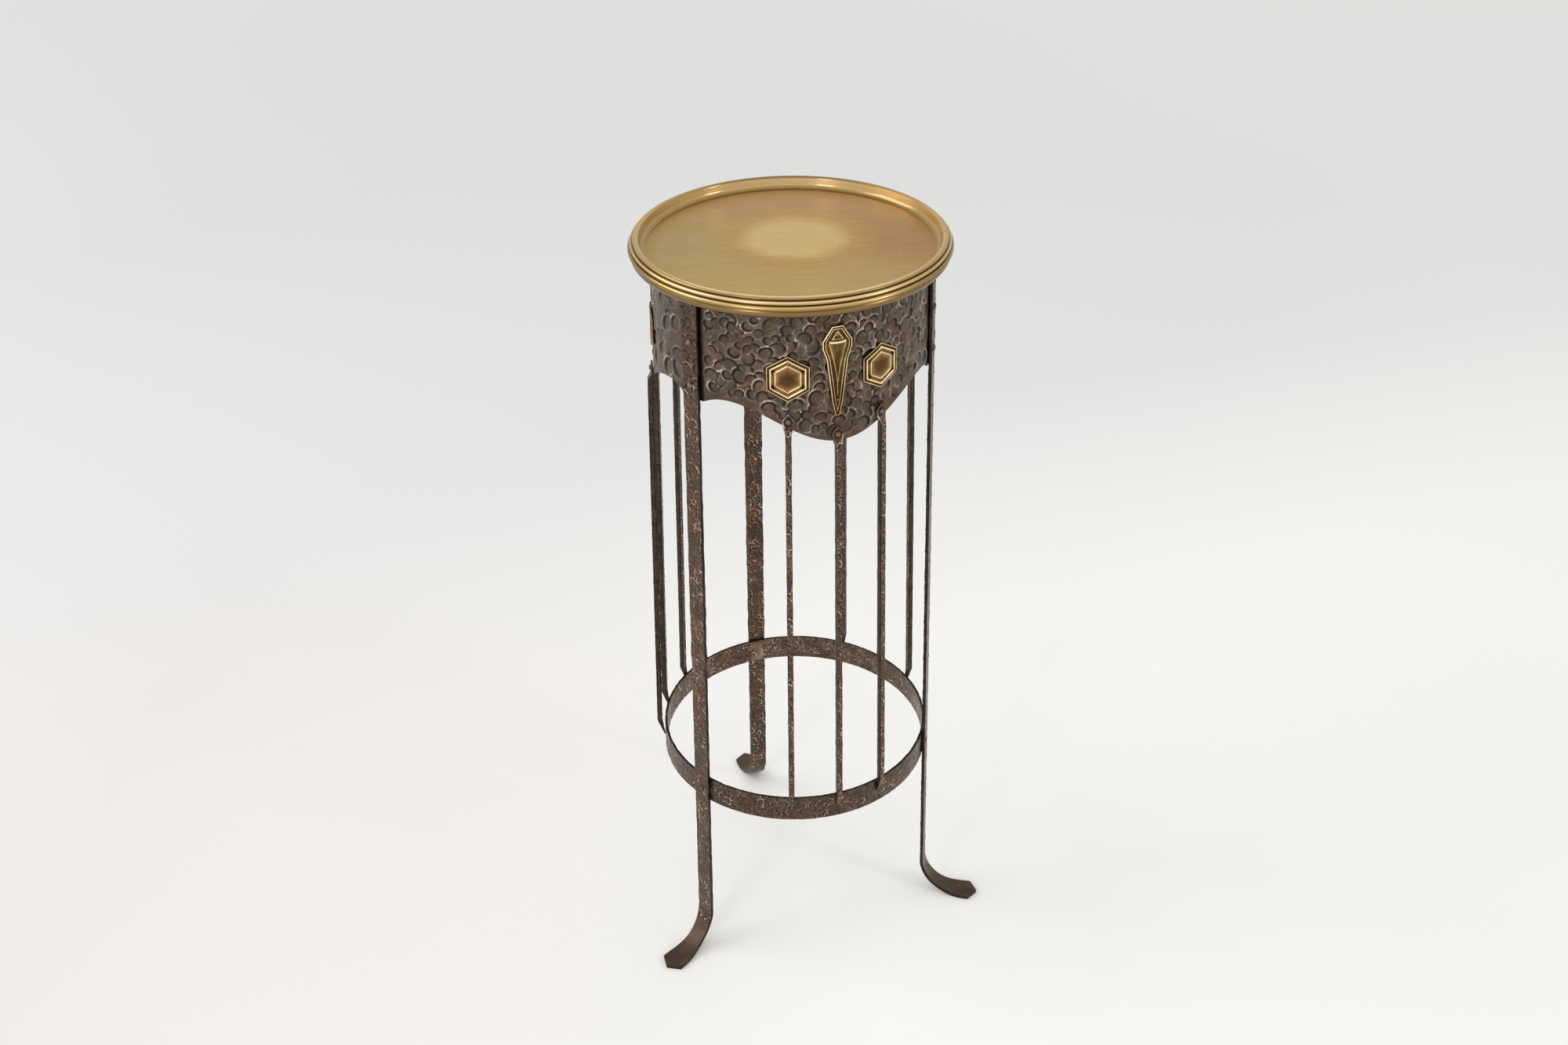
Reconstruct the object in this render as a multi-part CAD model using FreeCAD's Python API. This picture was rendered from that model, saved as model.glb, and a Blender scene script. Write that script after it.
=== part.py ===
import FreeCAD, Part
import math
import os

# Hammered iron stand on three legs, with a brass tray that lifts off.
# Millimetres. Z is up, the floor is Z = 0, the axis of the stand is the Z axis,
# the middle of the front panel faces -Y, and angles turn from -Y towards +X.

# Fits between pieces
FIT = 0.05
HOLE_CLEARANCE = 0.05
TAIL_SEAT = 0.15
TRAY_PLAY = 1.0
EDGE_MARGIN = 5.0

# Apron: a conical sheet-iron ring, its lower edge a row of three swags
APRON_TOP = 827.0
APRON_TOP_RADIUS = 139.2
APRON_WALL = 1.6
SWAG_DROP = 144.5
ARCH_DROP = 105.0
TAB_DROP = 113.0
SWAG_OFFSET = 1.6
ARCH_ANGLE = 45.4
CUSP_ANGLE = 54.7
EDGE_STEPS = 36

# Lower hoop: a flat band
HOOP_HEIGHT = 228.6
HOOP_RADIUS = 151.1
HOOP_WALL = 3.0
HOOP_BAND = 30.6

# Legs: flat bar, turned out at the floor and spread into a pointed foot
LEG_WIDTH = 20.0
LEG_THICKNESS = 4.0
LEG_TOP_GAP = 3.0
BEND_RADIUS = 50.0
FOOT_WIDTH = 28.0
FOOT_FLAT = 10.6
FOOT_POINT = 9.0
FOOT_FLARE = 40.0

# Rods: square bar, flattened head on the apron, drawn-out tip on the hoop
ROD_SIZE = 6.0
ROD_SPREAD = 19.2
ROD_STANDOFF = 3.0
ROD_HEAD_WIDTH = 11.6
ROD_HEAD_THICKNESS = 2.0
ROD_HEAD_RISE = 8.0
ROD_HEAD_SHOULDER = 5.0
ROD_TIP_WIDTH = 2.4
ROD_TIP_THICKNESS = 1.2
ROD_BEND_RISE = 6.0
ROD_RIVET_LIFT = 7.5

# Tray: spun brass, a sunk well inside a broad lip, two reeds that step outwards and a tucked-in skirt
TRAY_OVERHANG = 20.8
TRAY_WALL = 1.5
RIM_WIDTH = 17.0
WELL_DEPTH = 12.2
COVE_RADIUS = 6.0
COVE_SWEEP = 80.0
LIP_BEAD = 1.8
LIP_FLAT = 2.6
LIP_MEET = 60.0
UPPER_REED = 2.1
UPPER_STEP = 53.0
LOWER_REED = 2.5
LOWER_STEP = 69.0
REED_GAP = 0.3
SKIRT_MEET = 100.0
SKIRT_INSET = 4.2
SKIRT_BULGE = 1.4
RIM_DROP = 7.0
RING_WALL = 2.0
RING_DEPTH = 12.0

# Brass plaques on the apron
PLAQUE_SHEET = 0.8
PLAQUE_RELIEF = 0.9
HEXAGON_RADIUS = 24.0
HEXAGON_DROP = 75.5
HEXAGON_ANGLE = 19.2
HEXAGON_BORDER = 5.0
HEXAGON_GROOVE = 4.2
HEXAGON_BEAD = 1.6
DROP_TOP = 24.0
DROP_FOOT_GAP = 11.5
DROP_RIDGE = 2.2
DROP_TOP_PIN = 9.5
DROP_FOOT_PIN = 17.0
DROP_TOP_WIDTH = 10.8
DROP_WIDTH = 30.0
DROP_SHOULDER = 15.5
DROP_SIDE = 6.5
DROP_WAIST = 12.0
DROP_WAIST_WIDTH = 22.0
DROP_TAIL = 15.0
DROP_TAIL_WIDTH = 11.2
DROP_FOOT_WIDTH = 4.8

# Rivets and pins: radius of the shank, radius and height of the head
LEG_RIVET_SHANK = 2.0
LEG_RIVET_HEAD = 3.6
LEG_RIVET_RISE = 1.9
LEG_RIVET_EDGE = 15.0
LEG_RIVET_PITCH = 45.0
HOOP_RIVET_SHANK = 2.0
HOOP_RIVET_HEAD = 3.2
HOOP_RIVET_RISE = 0.9
ROD_RIVET_SHANK = 1.5
ROD_RIVET_HEAD = 2.9
ROD_RIVET_RISE = 2.0
PIN_SHANK = 0.7
PIN_HEAD = 1.3
PIN_RISE = 0.8

PANELS = {"front": 0.0, "right": 120.0, "left": -120.0}
LEGS = {"left": -60.0, "right": 60.0, "back": 180.0}

V = FreeCAD.Vector
HALF_PANEL = 180 / len(PANELS)
FLARE = (HOOP_RADIUS - APRON_TOP_RADIUS) / (APRON_TOP - HOOP_HEIGHT)
TILT = math.degrees(math.atan(FLARE))


def stand_radius(z):
    """Radius of the slightly conical stand, over the apron and the hoop, at a height."""
    return APRON_TOP_RADIUS + FLARE * (APRON_TOP - z)


def turned_to(shape, angle):
    """Copy of a shape made at the front, turned round the axis."""
    copy = shape.copy()
    copy.rotate(V(0, 0, 0), V(0, 0, 1), angle)
    return copy


def seated(shape, z):
    """Copy of a shape made round the Y axis, set square on the stand's face at a height."""
    copy = shape.copy()
    copy.rotate(V(0, 0, 0), V(1, 0, 0), -TILT)
    copy.translate(V(0, -stand_radius(z), z))
    return copy


def closed_face(points):
    return Part.Face(Part.makePolygon(points + points[:1]))


def revolved(edges):
    return Part.Face(Part.Wire(edges)).revolve(V(0, 0, 0), V(0, 0, 1), 360)


def line(start, end):
    return Part.LineSegment(start, end).toShape()


def arc(start, middle, end):
    return Part.Arc(start, middle, end).toShape()


def whole(shape):
    """The single solid of a boolean's result."""
    return shape.removeSplitter().Solids[0]


def edge_drop(angle):
    """How far the apron's lower edge lies below its top, at an angle from the panel's middle."""
    away = abs(angle - SWAG_OFFSET)
    if away <= ARCH_ANGLE:
        rise = (1 - math.cos(math.pi * away / ARCH_ANGLE)) / 2
        return SWAG_DROP - (SWAG_DROP - ARCH_DROP) * rise
    if abs(angle) <= CUSP_ANGLE:
        cusp = abs(math.copysign(CUSP_ANGLE, angle) - SWAG_OFFSET)
        fall = ((away - ARCH_ANGLE) / (cusp - ARCH_ANGLE)) ** 2
        return ARCH_DROP + (TAB_DROP - ARCH_DROP) * fall
    return TAB_DROP


def edge_height(angle):
    return APRON_TOP - edge_drop(angle)


# Rivets and pins

def dome(radius, height, base, outward):
    """Arc of a round head from its rim to its crown, in the XY plane round the Y axis."""
    sphere = (radius ** 2 + height ** 2) / (2 * height)
    half = math.atan2(radius, sphere - height) / 2
    rise = height - sphere * (1 - math.cos(half))
    middle = V(sphere * math.sin(half), base + outward * rise, 0)
    return arc(V(radius, base, 0), middle, V(0, base + outward * height, 0))


def rivet(size, grip_out, grip_in):
    """Rivet along Y: head outside at -grip_out, peened tail inside at grip_in."""
    shank, head, height = size
    tail = grip_in + TAIL_SEAT
    tail_radius = (shank + head) / 2
    crown = height * tail_radius / head
    outside = -grip_out - FIT
    edges = [
        dome(head, height, outside, -1),
        line(V(head, outside, 0), V(shank, outside, 0)),
        line(V(shank, outside, 0), V(shank, tail, 0)),
        line(V(shank, tail, 0), V(tail_radius, tail, 0)),
        dome(tail_radius, crown, tail, 1),
        line(V(0, tail + crown, 0), V(0, outside - height, 0)),
    ]
    profile = Part.Face(Part.Wire(Part.__sortEdges__(edges)))
    return profile.revolve(V(0, 0, 0), V(0, 1, 0), 360)


def hole(size):
    """Cutter for a rivet's shank, past every wall that it goes through."""
    reach = LEG_THICKNESS + HOOP_WALL + APRON_WALL + ROD_SIZE + EDGE_MARGIN
    return Part.makeCylinder(size[0] + HOLE_CLEARANCE, 2 * reach, V(0, reach, 0), V(0, -1, 0))


LEG_RIVET = (LEG_RIVET_SHANK, LEG_RIVET_HEAD, LEG_RIVET_RISE)
HOOP_RIVET = (HOOP_RIVET_SHANK, HOOP_RIVET_HEAD, HOOP_RIVET_RISE)
ROD_RIVET = (ROD_RIVET_SHANK, ROD_RIVET_HEAD, ROD_RIVET_RISE)
PLAQUE_PIN = (PIN_SHANK, PIN_HEAD, PIN_RISE)
LEG_GRIP = FIT + LEG_THICKNESS
ROD_GRIP = FIT + ROD_HEAD_THICKNESS
PLAQUE_GRIP = FIT + PLAQUE_SHEET
ROD_ANGLES = [-ROD_SPREAD, 0.0, ROD_SPREAD]


def rod_rivet_height(angle):
    return edge_height(angle) + ROD_RIVET_LIFT


def rod_top(angle):
    return rod_rivet_height(angle) + ROD_HEAD_RISE


TAB_HEIGHT = APRON_TOP - TAB_DROP
LEG_RIVET_HEIGHTS = [TAB_HEIGHT + LEG_RIVET_EDGE, TAB_HEIGHT + LEG_RIVET_EDGE + LEG_RIVET_PITCH]
HEXAGON_HEIGHT = APRON_TOP - HEXAGON_DROP
HEXAGON_PIN_RADIUS = HEXAGON_RADIUS - HEXAGON_BORDER - HEXAGON_GROOVE / 2
HEXAGON_PIN_HEIGHTS = [HEXAGON_HEIGHT + side * HEXAGON_PIN_RADIUS for side in (1, -1)]
DROP_HEIGHT = APRON_TOP - DROP_TOP
DROP_FOOT = rod_top(0.0) + DROP_FOOT_GAP
DROP_PIN_HEIGHTS = [DROP_HEIGHT - DROP_TOP_PIN, DROP_FOOT + DROP_FOOT_PIN]


def apron_holes():
    """Every rivet and pin through the apron: its size, height and angle."""
    for leg in LEGS.values():
        for z in LEG_RIVET_HEIGHTS:
            yield LEG_RIVET, z, leg
    for panel in PANELS.values():
        for angle in ROD_ANGLES:
            yield ROD_RIVET, rod_rivet_height(angle), panel + angle
        for z in DROP_PIN_HEIGHTS:
            yield PLAQUE_PIN, z, panel
        for side in (-HEXAGON_ANGLE, HEXAGON_ANGLE):
            for z in HEXAGON_PIN_HEIGHTS:
                yield PLAQUE_PIN, z, panel + side


# Apron

def swag_cutter():
    """Everything below the lower edge of the front panel."""
    floor = APRON_TOP - SWAG_DROP - 2 * EDGE_MARGIN
    outer = stand_radius(floor) + EDGE_MARGIN
    tab_half = HALF_PANEL - CUSP_ANGLE
    side = outer * math.sin(math.radians(HALF_PANEL + tab_half / 2))
    points = []
    for step in range(EDGE_STEPS + 1):
        angle = CUSP_ANGLE * (2 * step / EDGE_STEPS - 1)
        z = edge_height(angle)
        points.append(V(stand_radius(z) * math.sin(math.radians(angle)), -outer, z))
    curve = Part.BSplineCurve()
    curve.interpolate(points)
    edges = [
        line(V(-side, -outer, TAB_HEIGHT), points[0]),
        curve.toShape(),
        line(points[-1], V(side, -outer, TAB_HEIGHT)),
        line(V(side, -outer, TAB_HEIGHT), V(side, -outer, floor)),
        line(V(side, -outer, floor), V(-side, -outer, floor)),
        line(V(-side, -outer, floor), V(-side, -outer, TAB_HEIGHT)),
    ]
    depth = outer * (1 - math.cos(math.radians(HALF_PANEL + tab_half)))
    return Part.Face(Part.Wire(edges)).extrude(V(0, depth, 0))


def apron_drum():
    low = APRON_TOP - SWAG_DROP - EDGE_MARGIN
    ring = closed_face([
        V(0, -stand_radius(low), low),
        V(0, -stand_radius(APRON_TOP), APRON_TOP),
        V(0, -stand_radius(APRON_TOP) + APRON_WALL, APRON_TOP),
        V(0, -stand_radius(low) + APRON_WALL, low),
    ]).revolve(V(0, 0, 0), V(0, 0, 1), 360)
    cutter = swag_cutter()
    cutters = [turned_to(cutter, angle) for angle in PANELS.values()]
    cutters += [turned_to(seated(hole(size), z), angle) for size, z, angle in apron_holes()]
    return whole(ring.cut(cutters))


# Lower hoop

def lower_hoop():
    low = HOOP_HEIGHT - HOOP_BAND / 2
    high = HOOP_HEIGHT + HOOP_BAND / 2
    ring = closed_face([
        V(0, -stand_radius(low), low),
        V(0, -stand_radius(high), high),
        V(0, -stand_radius(high) + HOOP_WALL, high),
        V(0, -stand_radius(low) + HOOP_WALL, low),
    ]).revolve(V(0, 0, 0), V(0, 0, 1), 360)
    cutters = [turned_to(seated(hole(HOOP_RIVET), HOOP_HEIGHT), angle) for angle in LEGS.values()]
    return whole(ring.cut(cutters))


# Legs

def leg_side():
    """Side view of a leg: straight on the stand's cone, then bent out flat on the floor."""
    top = APRON_TOP - LEG_TOP_GAP
    length = math.hypot(1, FLARE)
    centre_r = stand_radius(BEND_RADIUS) + FIT + BEND_RADIUS * length
    start = math.pi + math.atan(FLARE)
    middle = (start + 1.5 * math.pi) / 2
    tip = centre_r + FOOT_FLAT + FOOT_POINT
    upper = BEND_RADIUS - LEG_THICKNESS

    def on_bend(radius, angle):
        return V(0, -(centre_r + radius * math.cos(angle)), BEND_RADIUS + radius * math.sin(angle))

    inner_top = V(0, -(stand_radius(top) + FIT), top)
    outer_top = V(0, -(stand_radius(top) + FIT + LEG_THICKNESS * length), top)
    edges = [
        line(inner_top, on_bend(BEND_RADIUS, start)),
        arc(on_bend(BEND_RADIUS, start), on_bend(BEND_RADIUS, middle), V(0, -centre_r, 0)),
        line(V(0, -centre_r, 0), V(0, -tip, 0)),
        line(V(0, -tip, 0), V(0, -tip, LEG_THICKNESS)),
        line(V(0, -tip, LEG_THICKNESS), V(0, -centre_r, LEG_THICKNESS)),
        arc(V(0, -centre_r, LEG_THICKNESS), on_bend(upper, middle), on_bend(upper, start)),
        line(on_bend(upper, start), outer_top),
        line(outer_top, inner_top),
    ]
    return Part.Face(Part.Wire(edges)), centre_r


def leg_plan(centre_r):
    """Plan of a leg: bar width inside, flaring to the foot and its blunt point."""
    wide = FOOT_WIDTH / 2
    bar = LEG_WIDTH / 2
    flare_end = -(centre_r + FOOT_FLAT / 2)
    flare_start = flare_end + FOOT_FLARE
    corner = -(centre_r + FOOT_FLAT)
    tip = corner - FOOT_POINT
    edges = [line(V(bar, 0, 0), V(-bar, 0, 0))]
    for side in (-1, 1):
        flare = Part.BezierCurve()
        flare.setPoles([
            V(side * bar, flare_start, 0),
            V(side * bar, flare_start - FOOT_FLARE / 2, 0),
            V(side * wide, flare_end + FOOT_FLARE / 2, 0),
            V(side * wide, flare_end, 0),
        ])
        edges += [
            line(V(side * bar, 0, 0), V(side * bar, flare_start, 0)),
            flare.toShape(),
            line(V(side * wide, flare_end, 0), V(side * wide, corner, 0)),
            line(V(side * wide, corner, 0), V(0, tip, 0)),
        ]
    return Part.Face(Part.Wire(Part.__sortEdges__(edges)))


def leg():
    side, centre_r = leg_side()
    side.translate(V(-FOOT_WIDTH / 2, 0, 0))
    bar = side.extrude(V(FOOT_WIDTH, 0, 0))
    body = bar.common(leg_plan(centre_r).extrude(V(0, 0, APRON_TOP)))
    cutters = [seated(hole(LEG_RIVET), z) for z in LEG_RIVET_HEIGHTS]
    cutters.append(seated(hole(HOOP_RIVET), HOOP_HEIGHT))
    return whole(body.cut(cutters))


# Rods

def rod(angle):
    """A rod at the front, with its head set for the apron's edge at an angle."""
    edge = edge_height(angle)
    rivet_z = rod_rivet_height(angle)
    top = rod_top(angle)
    neck = edge - ROD_HEAD_SHOULDER
    bend = HOOP_HEIGHT + HOOP_BAND / 2 + ROD_BEND_RISE
    tip = HOOP_HEIGHT
    bend_r = stand_radius(bend) + ROD_STANDOFF
    tip_r = stand_radius(tip) + FIT

    def on_face(z, out):
        return V(0, -(stand_radius(z) + FIT + out), z)

    side = closed_face([
        on_face(top, 0),
        on_face(neck, 0),
        V(0, -bend_r, bend),
        V(0, -tip_r, tip),
        V(0, -(tip_r + ROD_TIP_THICKNESS), tip),
        V(0, -(bend_r + ROD_SIZE), bend),
        on_face(neck, ROD_SIZE),
        on_face(edge + ROD_HEAD_SHOULDER / 2, ROD_HEAD_THICKNESS),
        on_face(top, ROD_HEAD_THICKNESS),
    ])
    half = ROD_SIZE / 2
    head = ROD_HEAD_WIDTH / 2
    end = ROD_TIP_WIDTH / 2
    right = [
        (end, tip),
        (half, bend),
        (half, neck),
        (head, rivet_z - ROD_SIZE / 2),
        (head, rivet_z + ROD_SIZE / 4),
    ]
    outline = [V(x, 0, z) for x, z in right]
    outline.append(V(0, 0, top))
    outline += [V(-x, 0, z) for x, z in reversed(right)]
    deep = 2 * stand_radius(0)
    side.translate(V(-ROD_HEAD_WIDTH / 2, 0, 0))
    bar = side.extrude(V(ROD_HEAD_WIDTH, 0, 0))
    body = bar.common(closed_face(outline).extrude(V(0, -deep, 0)))
    return whole(body.cut([seated(hole(ROD_RIVET), rivet_z)]))


# Tray

def reed_step(angle, first, second):
    """From the centre of one reed to the next one, out and below at an angle."""
    reach = first + second + REED_GAP
    return V(reach * math.cos(math.radians(angle)), 0, -reach * math.sin(math.radians(angle)))


def on_reed(centre, radius, angle):
    turn = math.radians(angle)
    return centre + V(radius * math.cos(turn), 0, radius * math.sin(turn))


def tray():
    seat = APRON_TOP
    well = seat + TRAY_WALL
    rim_radius = APRON_TOP_RADIUS + TRAY_OVERHANG
    well_radius = rim_radius - RIM_WIDTH
    to_upper = reed_step(UPPER_STEP, LIP_BEAD, UPPER_REED)
    to_lower = reed_step(LOWER_STEP, UPPER_REED, LOWER_REED)
    lip_radius = rim_radius - LOWER_REED - to_lower.x - to_upper.x
    lip = V(lip_radius, 0, well + WELL_DEPTH - LIP_BEAD)
    lip_inside = lip - V(LIP_FLAT, 0, 0)
    upper = lip + to_upper
    lower = upper + to_lower
    sweep = math.radians(COVE_SWEEP)

    def cove(radius, angle):
        centre = V(well_radius, 0, well + COVE_RADIUS)
        return centre + V(radius * math.sin(angle), 0, -radius * math.cos(angle))

    edges = [
        line(V(0, 0, well), V(well_radius, 0, well)),
        arc(V(well_radius, 0, well), cove(COVE_RADIUS, sweep / 2), cove(COVE_RADIUS, sweep)),
    ]
    last = cove(COVE_RADIUS, sweep)
    for centre, radius, start, end in (
        (lip_inside, LIP_BEAD, 90 + LIP_MEET, 90),
        (lip, LIP_BEAD, 90, -UPPER_STEP),
        (upper, UPPER_REED, 180 - UPPER_STEP, -LOWER_STEP),
        (lower, LOWER_REED, 180 - LOWER_STEP, -SKIRT_MEET),
    ):
        first, middle, end_point = (on_reed(centre, radius, a) for a in (start, (start + end) / 2, end))
        edges += [line(last, first), arc(first, middle, end_point)]
        last = end_point
    hem = V(rim_radius - SKIRT_INSET, 0, well - RIM_DROP)
    chord = hem - last
    bulge = V(-chord.z, 0, chord.x) * (SKIRT_BULGE / chord.Length)
    inside = hem.x - TRAY_WALL
    under = COVE_RADIUS + TRAY_WALL
    under_end = cove(under, sweep)
    edges += [
        arc(last, (last + hem) * 0.5 + bulge, hem),
        line(hem, V(inside, 0, hem.z)),
        line(V(inside, 0, hem.z), V(inside, 0, under_end.z)),
        line(V(inside, 0, under_end.z), under_end),
        arc(under_end, cove(under, sweep / 2), V(well_radius, 0, seat)),
        line(V(well_radius, 0, seat), V(0, 0, seat)),
        line(V(0, 0, seat), V(0, 0, well)),
    ]
    return revolved(edges)


def tray_locating_ring():
    outer = APRON_TOP_RADIUS - APRON_WALL - TRAY_PLAY
    ring = Part.makeCylinder(outer, RING_DEPTH, V(0, 0, APRON_TOP - RING_DEPTH))
    return ring.cut(Part.makeCylinder(outer - RING_WALL, RING_DEPTH, V(0, 0, APRON_TOP - RING_DEPTH)))


# Plaques

def on_apron(outline, low, high):
    """Sheet over the front of the apron inside an outline, from low to high above its face."""
    box = outline.BoundBox
    bottom = box.ZMin - EDGE_MARGIN
    top = box.ZMax + EDGE_MARGIN
    corners = ((bottom, low), (top, low), (top, high), (bottom, high))
    quad = [V(0, -(stand_radius(z) + FIT + out), z) for z, out in corners]
    half = math.degrees(math.asin((box.XMax + EDGE_MARGIN) / APRON_TOP_RADIUS))
    sheet = turned_to(closed_face(quad), -half).revolve(V(0, 0, 0), V(0, 0, 1), 2 * half)
    return sheet.common(outline.extrude(V(0, -2 * stand_radius(0), 0)))


def hexagon(radius):
    corners = []
    for corner in range(6):
        turn = math.radians(60 * corner)
        corners.append(V(radius * math.sin(turn), 0, HEXAGON_HEIGHT + radius * math.cos(turn)))
    return closed_face(corners)


def hexagon_plaque():
    """Hexagon of sheet with a raised border, a groove and a raised bead round its flat middle."""
    raised = PLAQUE_SHEET + PLAQUE_RELIEF
    border_in = HEXAGON_RADIUS - HEXAGON_BORDER
    bead_out = border_in - HEXAGON_GROOVE
    border = hexagon(HEXAGON_RADIUS).cut(hexagon(border_in)).Faces[0]
    bead = hexagon(bead_out).cut(hexagon(bead_out - HEXAGON_BEAD)).Faces[0]
    sheet = on_apron(hexagon(HEXAGON_RADIUS), 0, PLAQUE_SHEET)
    plate = sheet.fuse([on_apron(border, 0, raised), on_apron(bead, 0, raised)])
    cutters = [seated(hole(PLAQUE_PIN), z) for z in HEXAGON_PIN_HEIGHTS]
    return whole(plate.cut(cutters))


def drop_outline():
    """Long drop: flat top, wide shoulders, a long taper to a blunt end."""
    shoulder = DROP_HEIGHT - DROP_SHOULDER
    right = [
        V(DROP_TOP_WIDTH / 2, 0, DROP_HEIGHT),
        V(DROP_WIDTH / 2, 0, shoulder),
        V(DROP_WIDTH / 2, 0, shoulder - DROP_SIDE),
        V(DROP_WAIST_WIDTH / 2, 0, shoulder - DROP_SIDE - DROP_WAIST),
        V(DROP_TAIL_WIDTH / 2, 0, DROP_FOOT + DROP_TAIL),
        V(DROP_FOOT_WIDTH / 2, 0, DROP_FOOT),
    ]
    left = [V(-point.x, 0, point.z) for point in reversed(right)]
    return closed_face(right + left)


def drop_plaque():
    """Drop of sheet with a raised border."""
    outline = drop_outline()
    inside = Part.Face(outline.OuterWire.makeOffset2D(-DROP_RIDGE, 2))
    border = outline.cut(inside).Faces[0]
    plate = on_apron(outline, 0, PLAQUE_SHEET).fuse(on_apron(border, 0, PLAQUE_SHEET + PLAQUE_RELIEF))
    cutters = [seated(hole(PLAQUE_PIN), z) for z in DROP_PIN_HEIGHTS]
    return whole(plate.cut(cutters))


# The assembly, piece by piece

def group(shape, places):
    """Like fasteners as one group of separate solids."""
    return Part.makeCompound([turned_to(seated(shape, z), angle) for z, angle in places])


def pieces():
    yield "tray", tray()
    yield "tray_locating_ring", tray_locating_ring()
    yield "apron_drum", apron_drum()
    yield "lower_hoop", lower_hoop()
    bar = leg()
    for name, angle in LEGS.items():
        yield f"leg_{name}", turned_to(bar, angle)
    for name, panel in PANELS.items():
        for number, angle in enumerate(ROD_ANGLES, start=1):
            yield f"rod_{name}_{number}", turned_to(rod(angle), panel + angle)
    hexagon_plate = hexagon_plaque()
    drop_plate = drop_plaque()
    for name, panel in PANELS.items():
        yield f"drop_plaque_{name}", turned_to(drop_plate, panel)
        yield f"hexagon_plaque_{name}_left", turned_to(hexagon_plate, panel - HEXAGON_ANGLE)
        yield f"hexagon_plaque_{name}_right", turned_to(hexagon_plate, panel + HEXAGON_ANGLE)
    leg_places = [(z, angle) for angle in LEGS.values() for z in LEG_RIVET_HEIGHTS]
    yield "leg_rivets", group(rivet(LEG_RIVET, LEG_GRIP, APRON_WALL), leg_places)
    hoop_places = [(HOOP_HEIGHT, angle) for angle in LEGS.values()]
    yield "hoop_rivets", group(rivet(HOOP_RIVET, LEG_GRIP, HOOP_WALL), hoop_places)
    rod_places = [(rod_rivet_height(a), p + a) for p in PANELS.values() for a in ROD_ANGLES]
    yield "rod_rivets", group(rivet(ROD_RIVET, ROD_GRIP, APRON_WALL), rod_places)
    pin = rivet(PLAQUE_PIN, PLAQUE_GRIP, APRON_WALL)
    drop_places = [(z, panel) for panel in PANELS.values() for z in DROP_PIN_HEIGHTS]
    yield "drop_pins", group(pin, drop_places)
    sides = [panel + side * HEXAGON_ANGLE for panel in PANELS.values() for side in (-1, 1)]
    hexagon_places = [(z, angle) for angle in sides for z in HEXAGON_PIN_HEIGHTS]
    yield "hexagon_pins", group(pin, hexagon_places)


os.makedirs("parts", exist_ok=True)
for name, shape in pieces():
    shape.exportStep(f"parts/{name}.step")
    print(name, "solids", len(shape.Solids), "volume", round(shape.Volume, 1), "valid", shape.isValid())
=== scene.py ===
import bpy
import math
import numpy as np
from mathutils import Matrix


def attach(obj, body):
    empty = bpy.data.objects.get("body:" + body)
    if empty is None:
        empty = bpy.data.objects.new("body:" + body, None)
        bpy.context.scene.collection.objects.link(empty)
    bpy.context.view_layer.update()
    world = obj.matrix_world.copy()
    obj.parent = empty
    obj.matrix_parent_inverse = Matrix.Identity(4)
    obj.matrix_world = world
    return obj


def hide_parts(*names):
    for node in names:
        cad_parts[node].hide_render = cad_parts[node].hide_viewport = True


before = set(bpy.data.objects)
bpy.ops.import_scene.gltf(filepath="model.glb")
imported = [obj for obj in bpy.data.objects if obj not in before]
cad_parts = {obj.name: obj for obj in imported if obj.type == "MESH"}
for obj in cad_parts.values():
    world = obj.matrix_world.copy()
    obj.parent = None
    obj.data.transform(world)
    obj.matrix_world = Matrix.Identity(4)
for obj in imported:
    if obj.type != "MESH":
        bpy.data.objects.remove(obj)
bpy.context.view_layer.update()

# Apron: one strip of sheet iron rolled into a slightly conical ring, struck all over its face
# with a round punch and cut by hand along its lower edge into three swags. The legs are riveted
# over the plain tabs between the swags. Sizes here and below are in millimetres.
APRON_TOP, APRON_TOP_RADIUS, APRON_SHEET = 827.0, 139.2, 1.6
HOOP_MIDDLE, HOOP_RADIUS = 228.6, 151.1
CONE_GROWTH = (HOOP_RADIUS - APRON_TOP_RADIUS) / (APRON_TOP - HOOP_MIDDLE)
PANEL_SPAN, LEG_WIDTH = 120.0, 20.0
SWAG_MIDDLE, ARCH_ANGLE, CUSP_ANGLE = 1.6, 45.4, 54.7
SWAG_DROP, ARCH_DROP, TAB_DROP = 144.5, 105.0, 113.0
APRON_STEPS, APRON_ROWS, APRON_BACK_ROWS = 840, 98, 20
PUNCH_FROM_LEG, PUNCH_FROM_CUT, PUNCH_FROM_TOP = 20.0, 9.0, 1.0
SPARSE_START, SPARSE_END, SPARSE_GROWTH = -112.0, -66.0, 1.15
LEG_SHADE, LEG_SHADE_FROM, LEG_SHADE_FULL = 0.4, 5.0, 1.0
INSIDE_WEAR = 0.35

# A struck mark is a pit, dark with grime and painted shade, inside a rubbed burr, with a painted
# glint on its shallow side: shares of its radius at which they lie, and their breadths.
MARK_REACH, MARK_EDGE, MARK_FLOOR = 1.6, 1.05, 0.83
BURR_AT, PIT_AT, GLINT_AT = 1.14, 0.86, 0.84
BURR_BREADTH, PIT_BREADTH = 0.8, 0.9


def cone_radius(z):
    """Radius of the slightly conical stand at a height."""
    return APRON_TOP_RADIUS + CONE_GROWTH * (APRON_TOP - z)


def on_cone(angle, z, out):
    """Points at angles from the front, in degrees, at heights, and standing out from the cone."""
    turn = np.radians(angle)
    radius = cone_radius(z) + out
    return np.stack([radius * np.sin(turn), -radius * np.cos(turn), z + 0 * radius], axis=-1)


def across_panel(angle):
    """Angles from the middle of the panel that they lie on."""
    return (angle + PANEL_SPAN / 2) % PANEL_SPAN - PANEL_SPAN / 2


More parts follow.
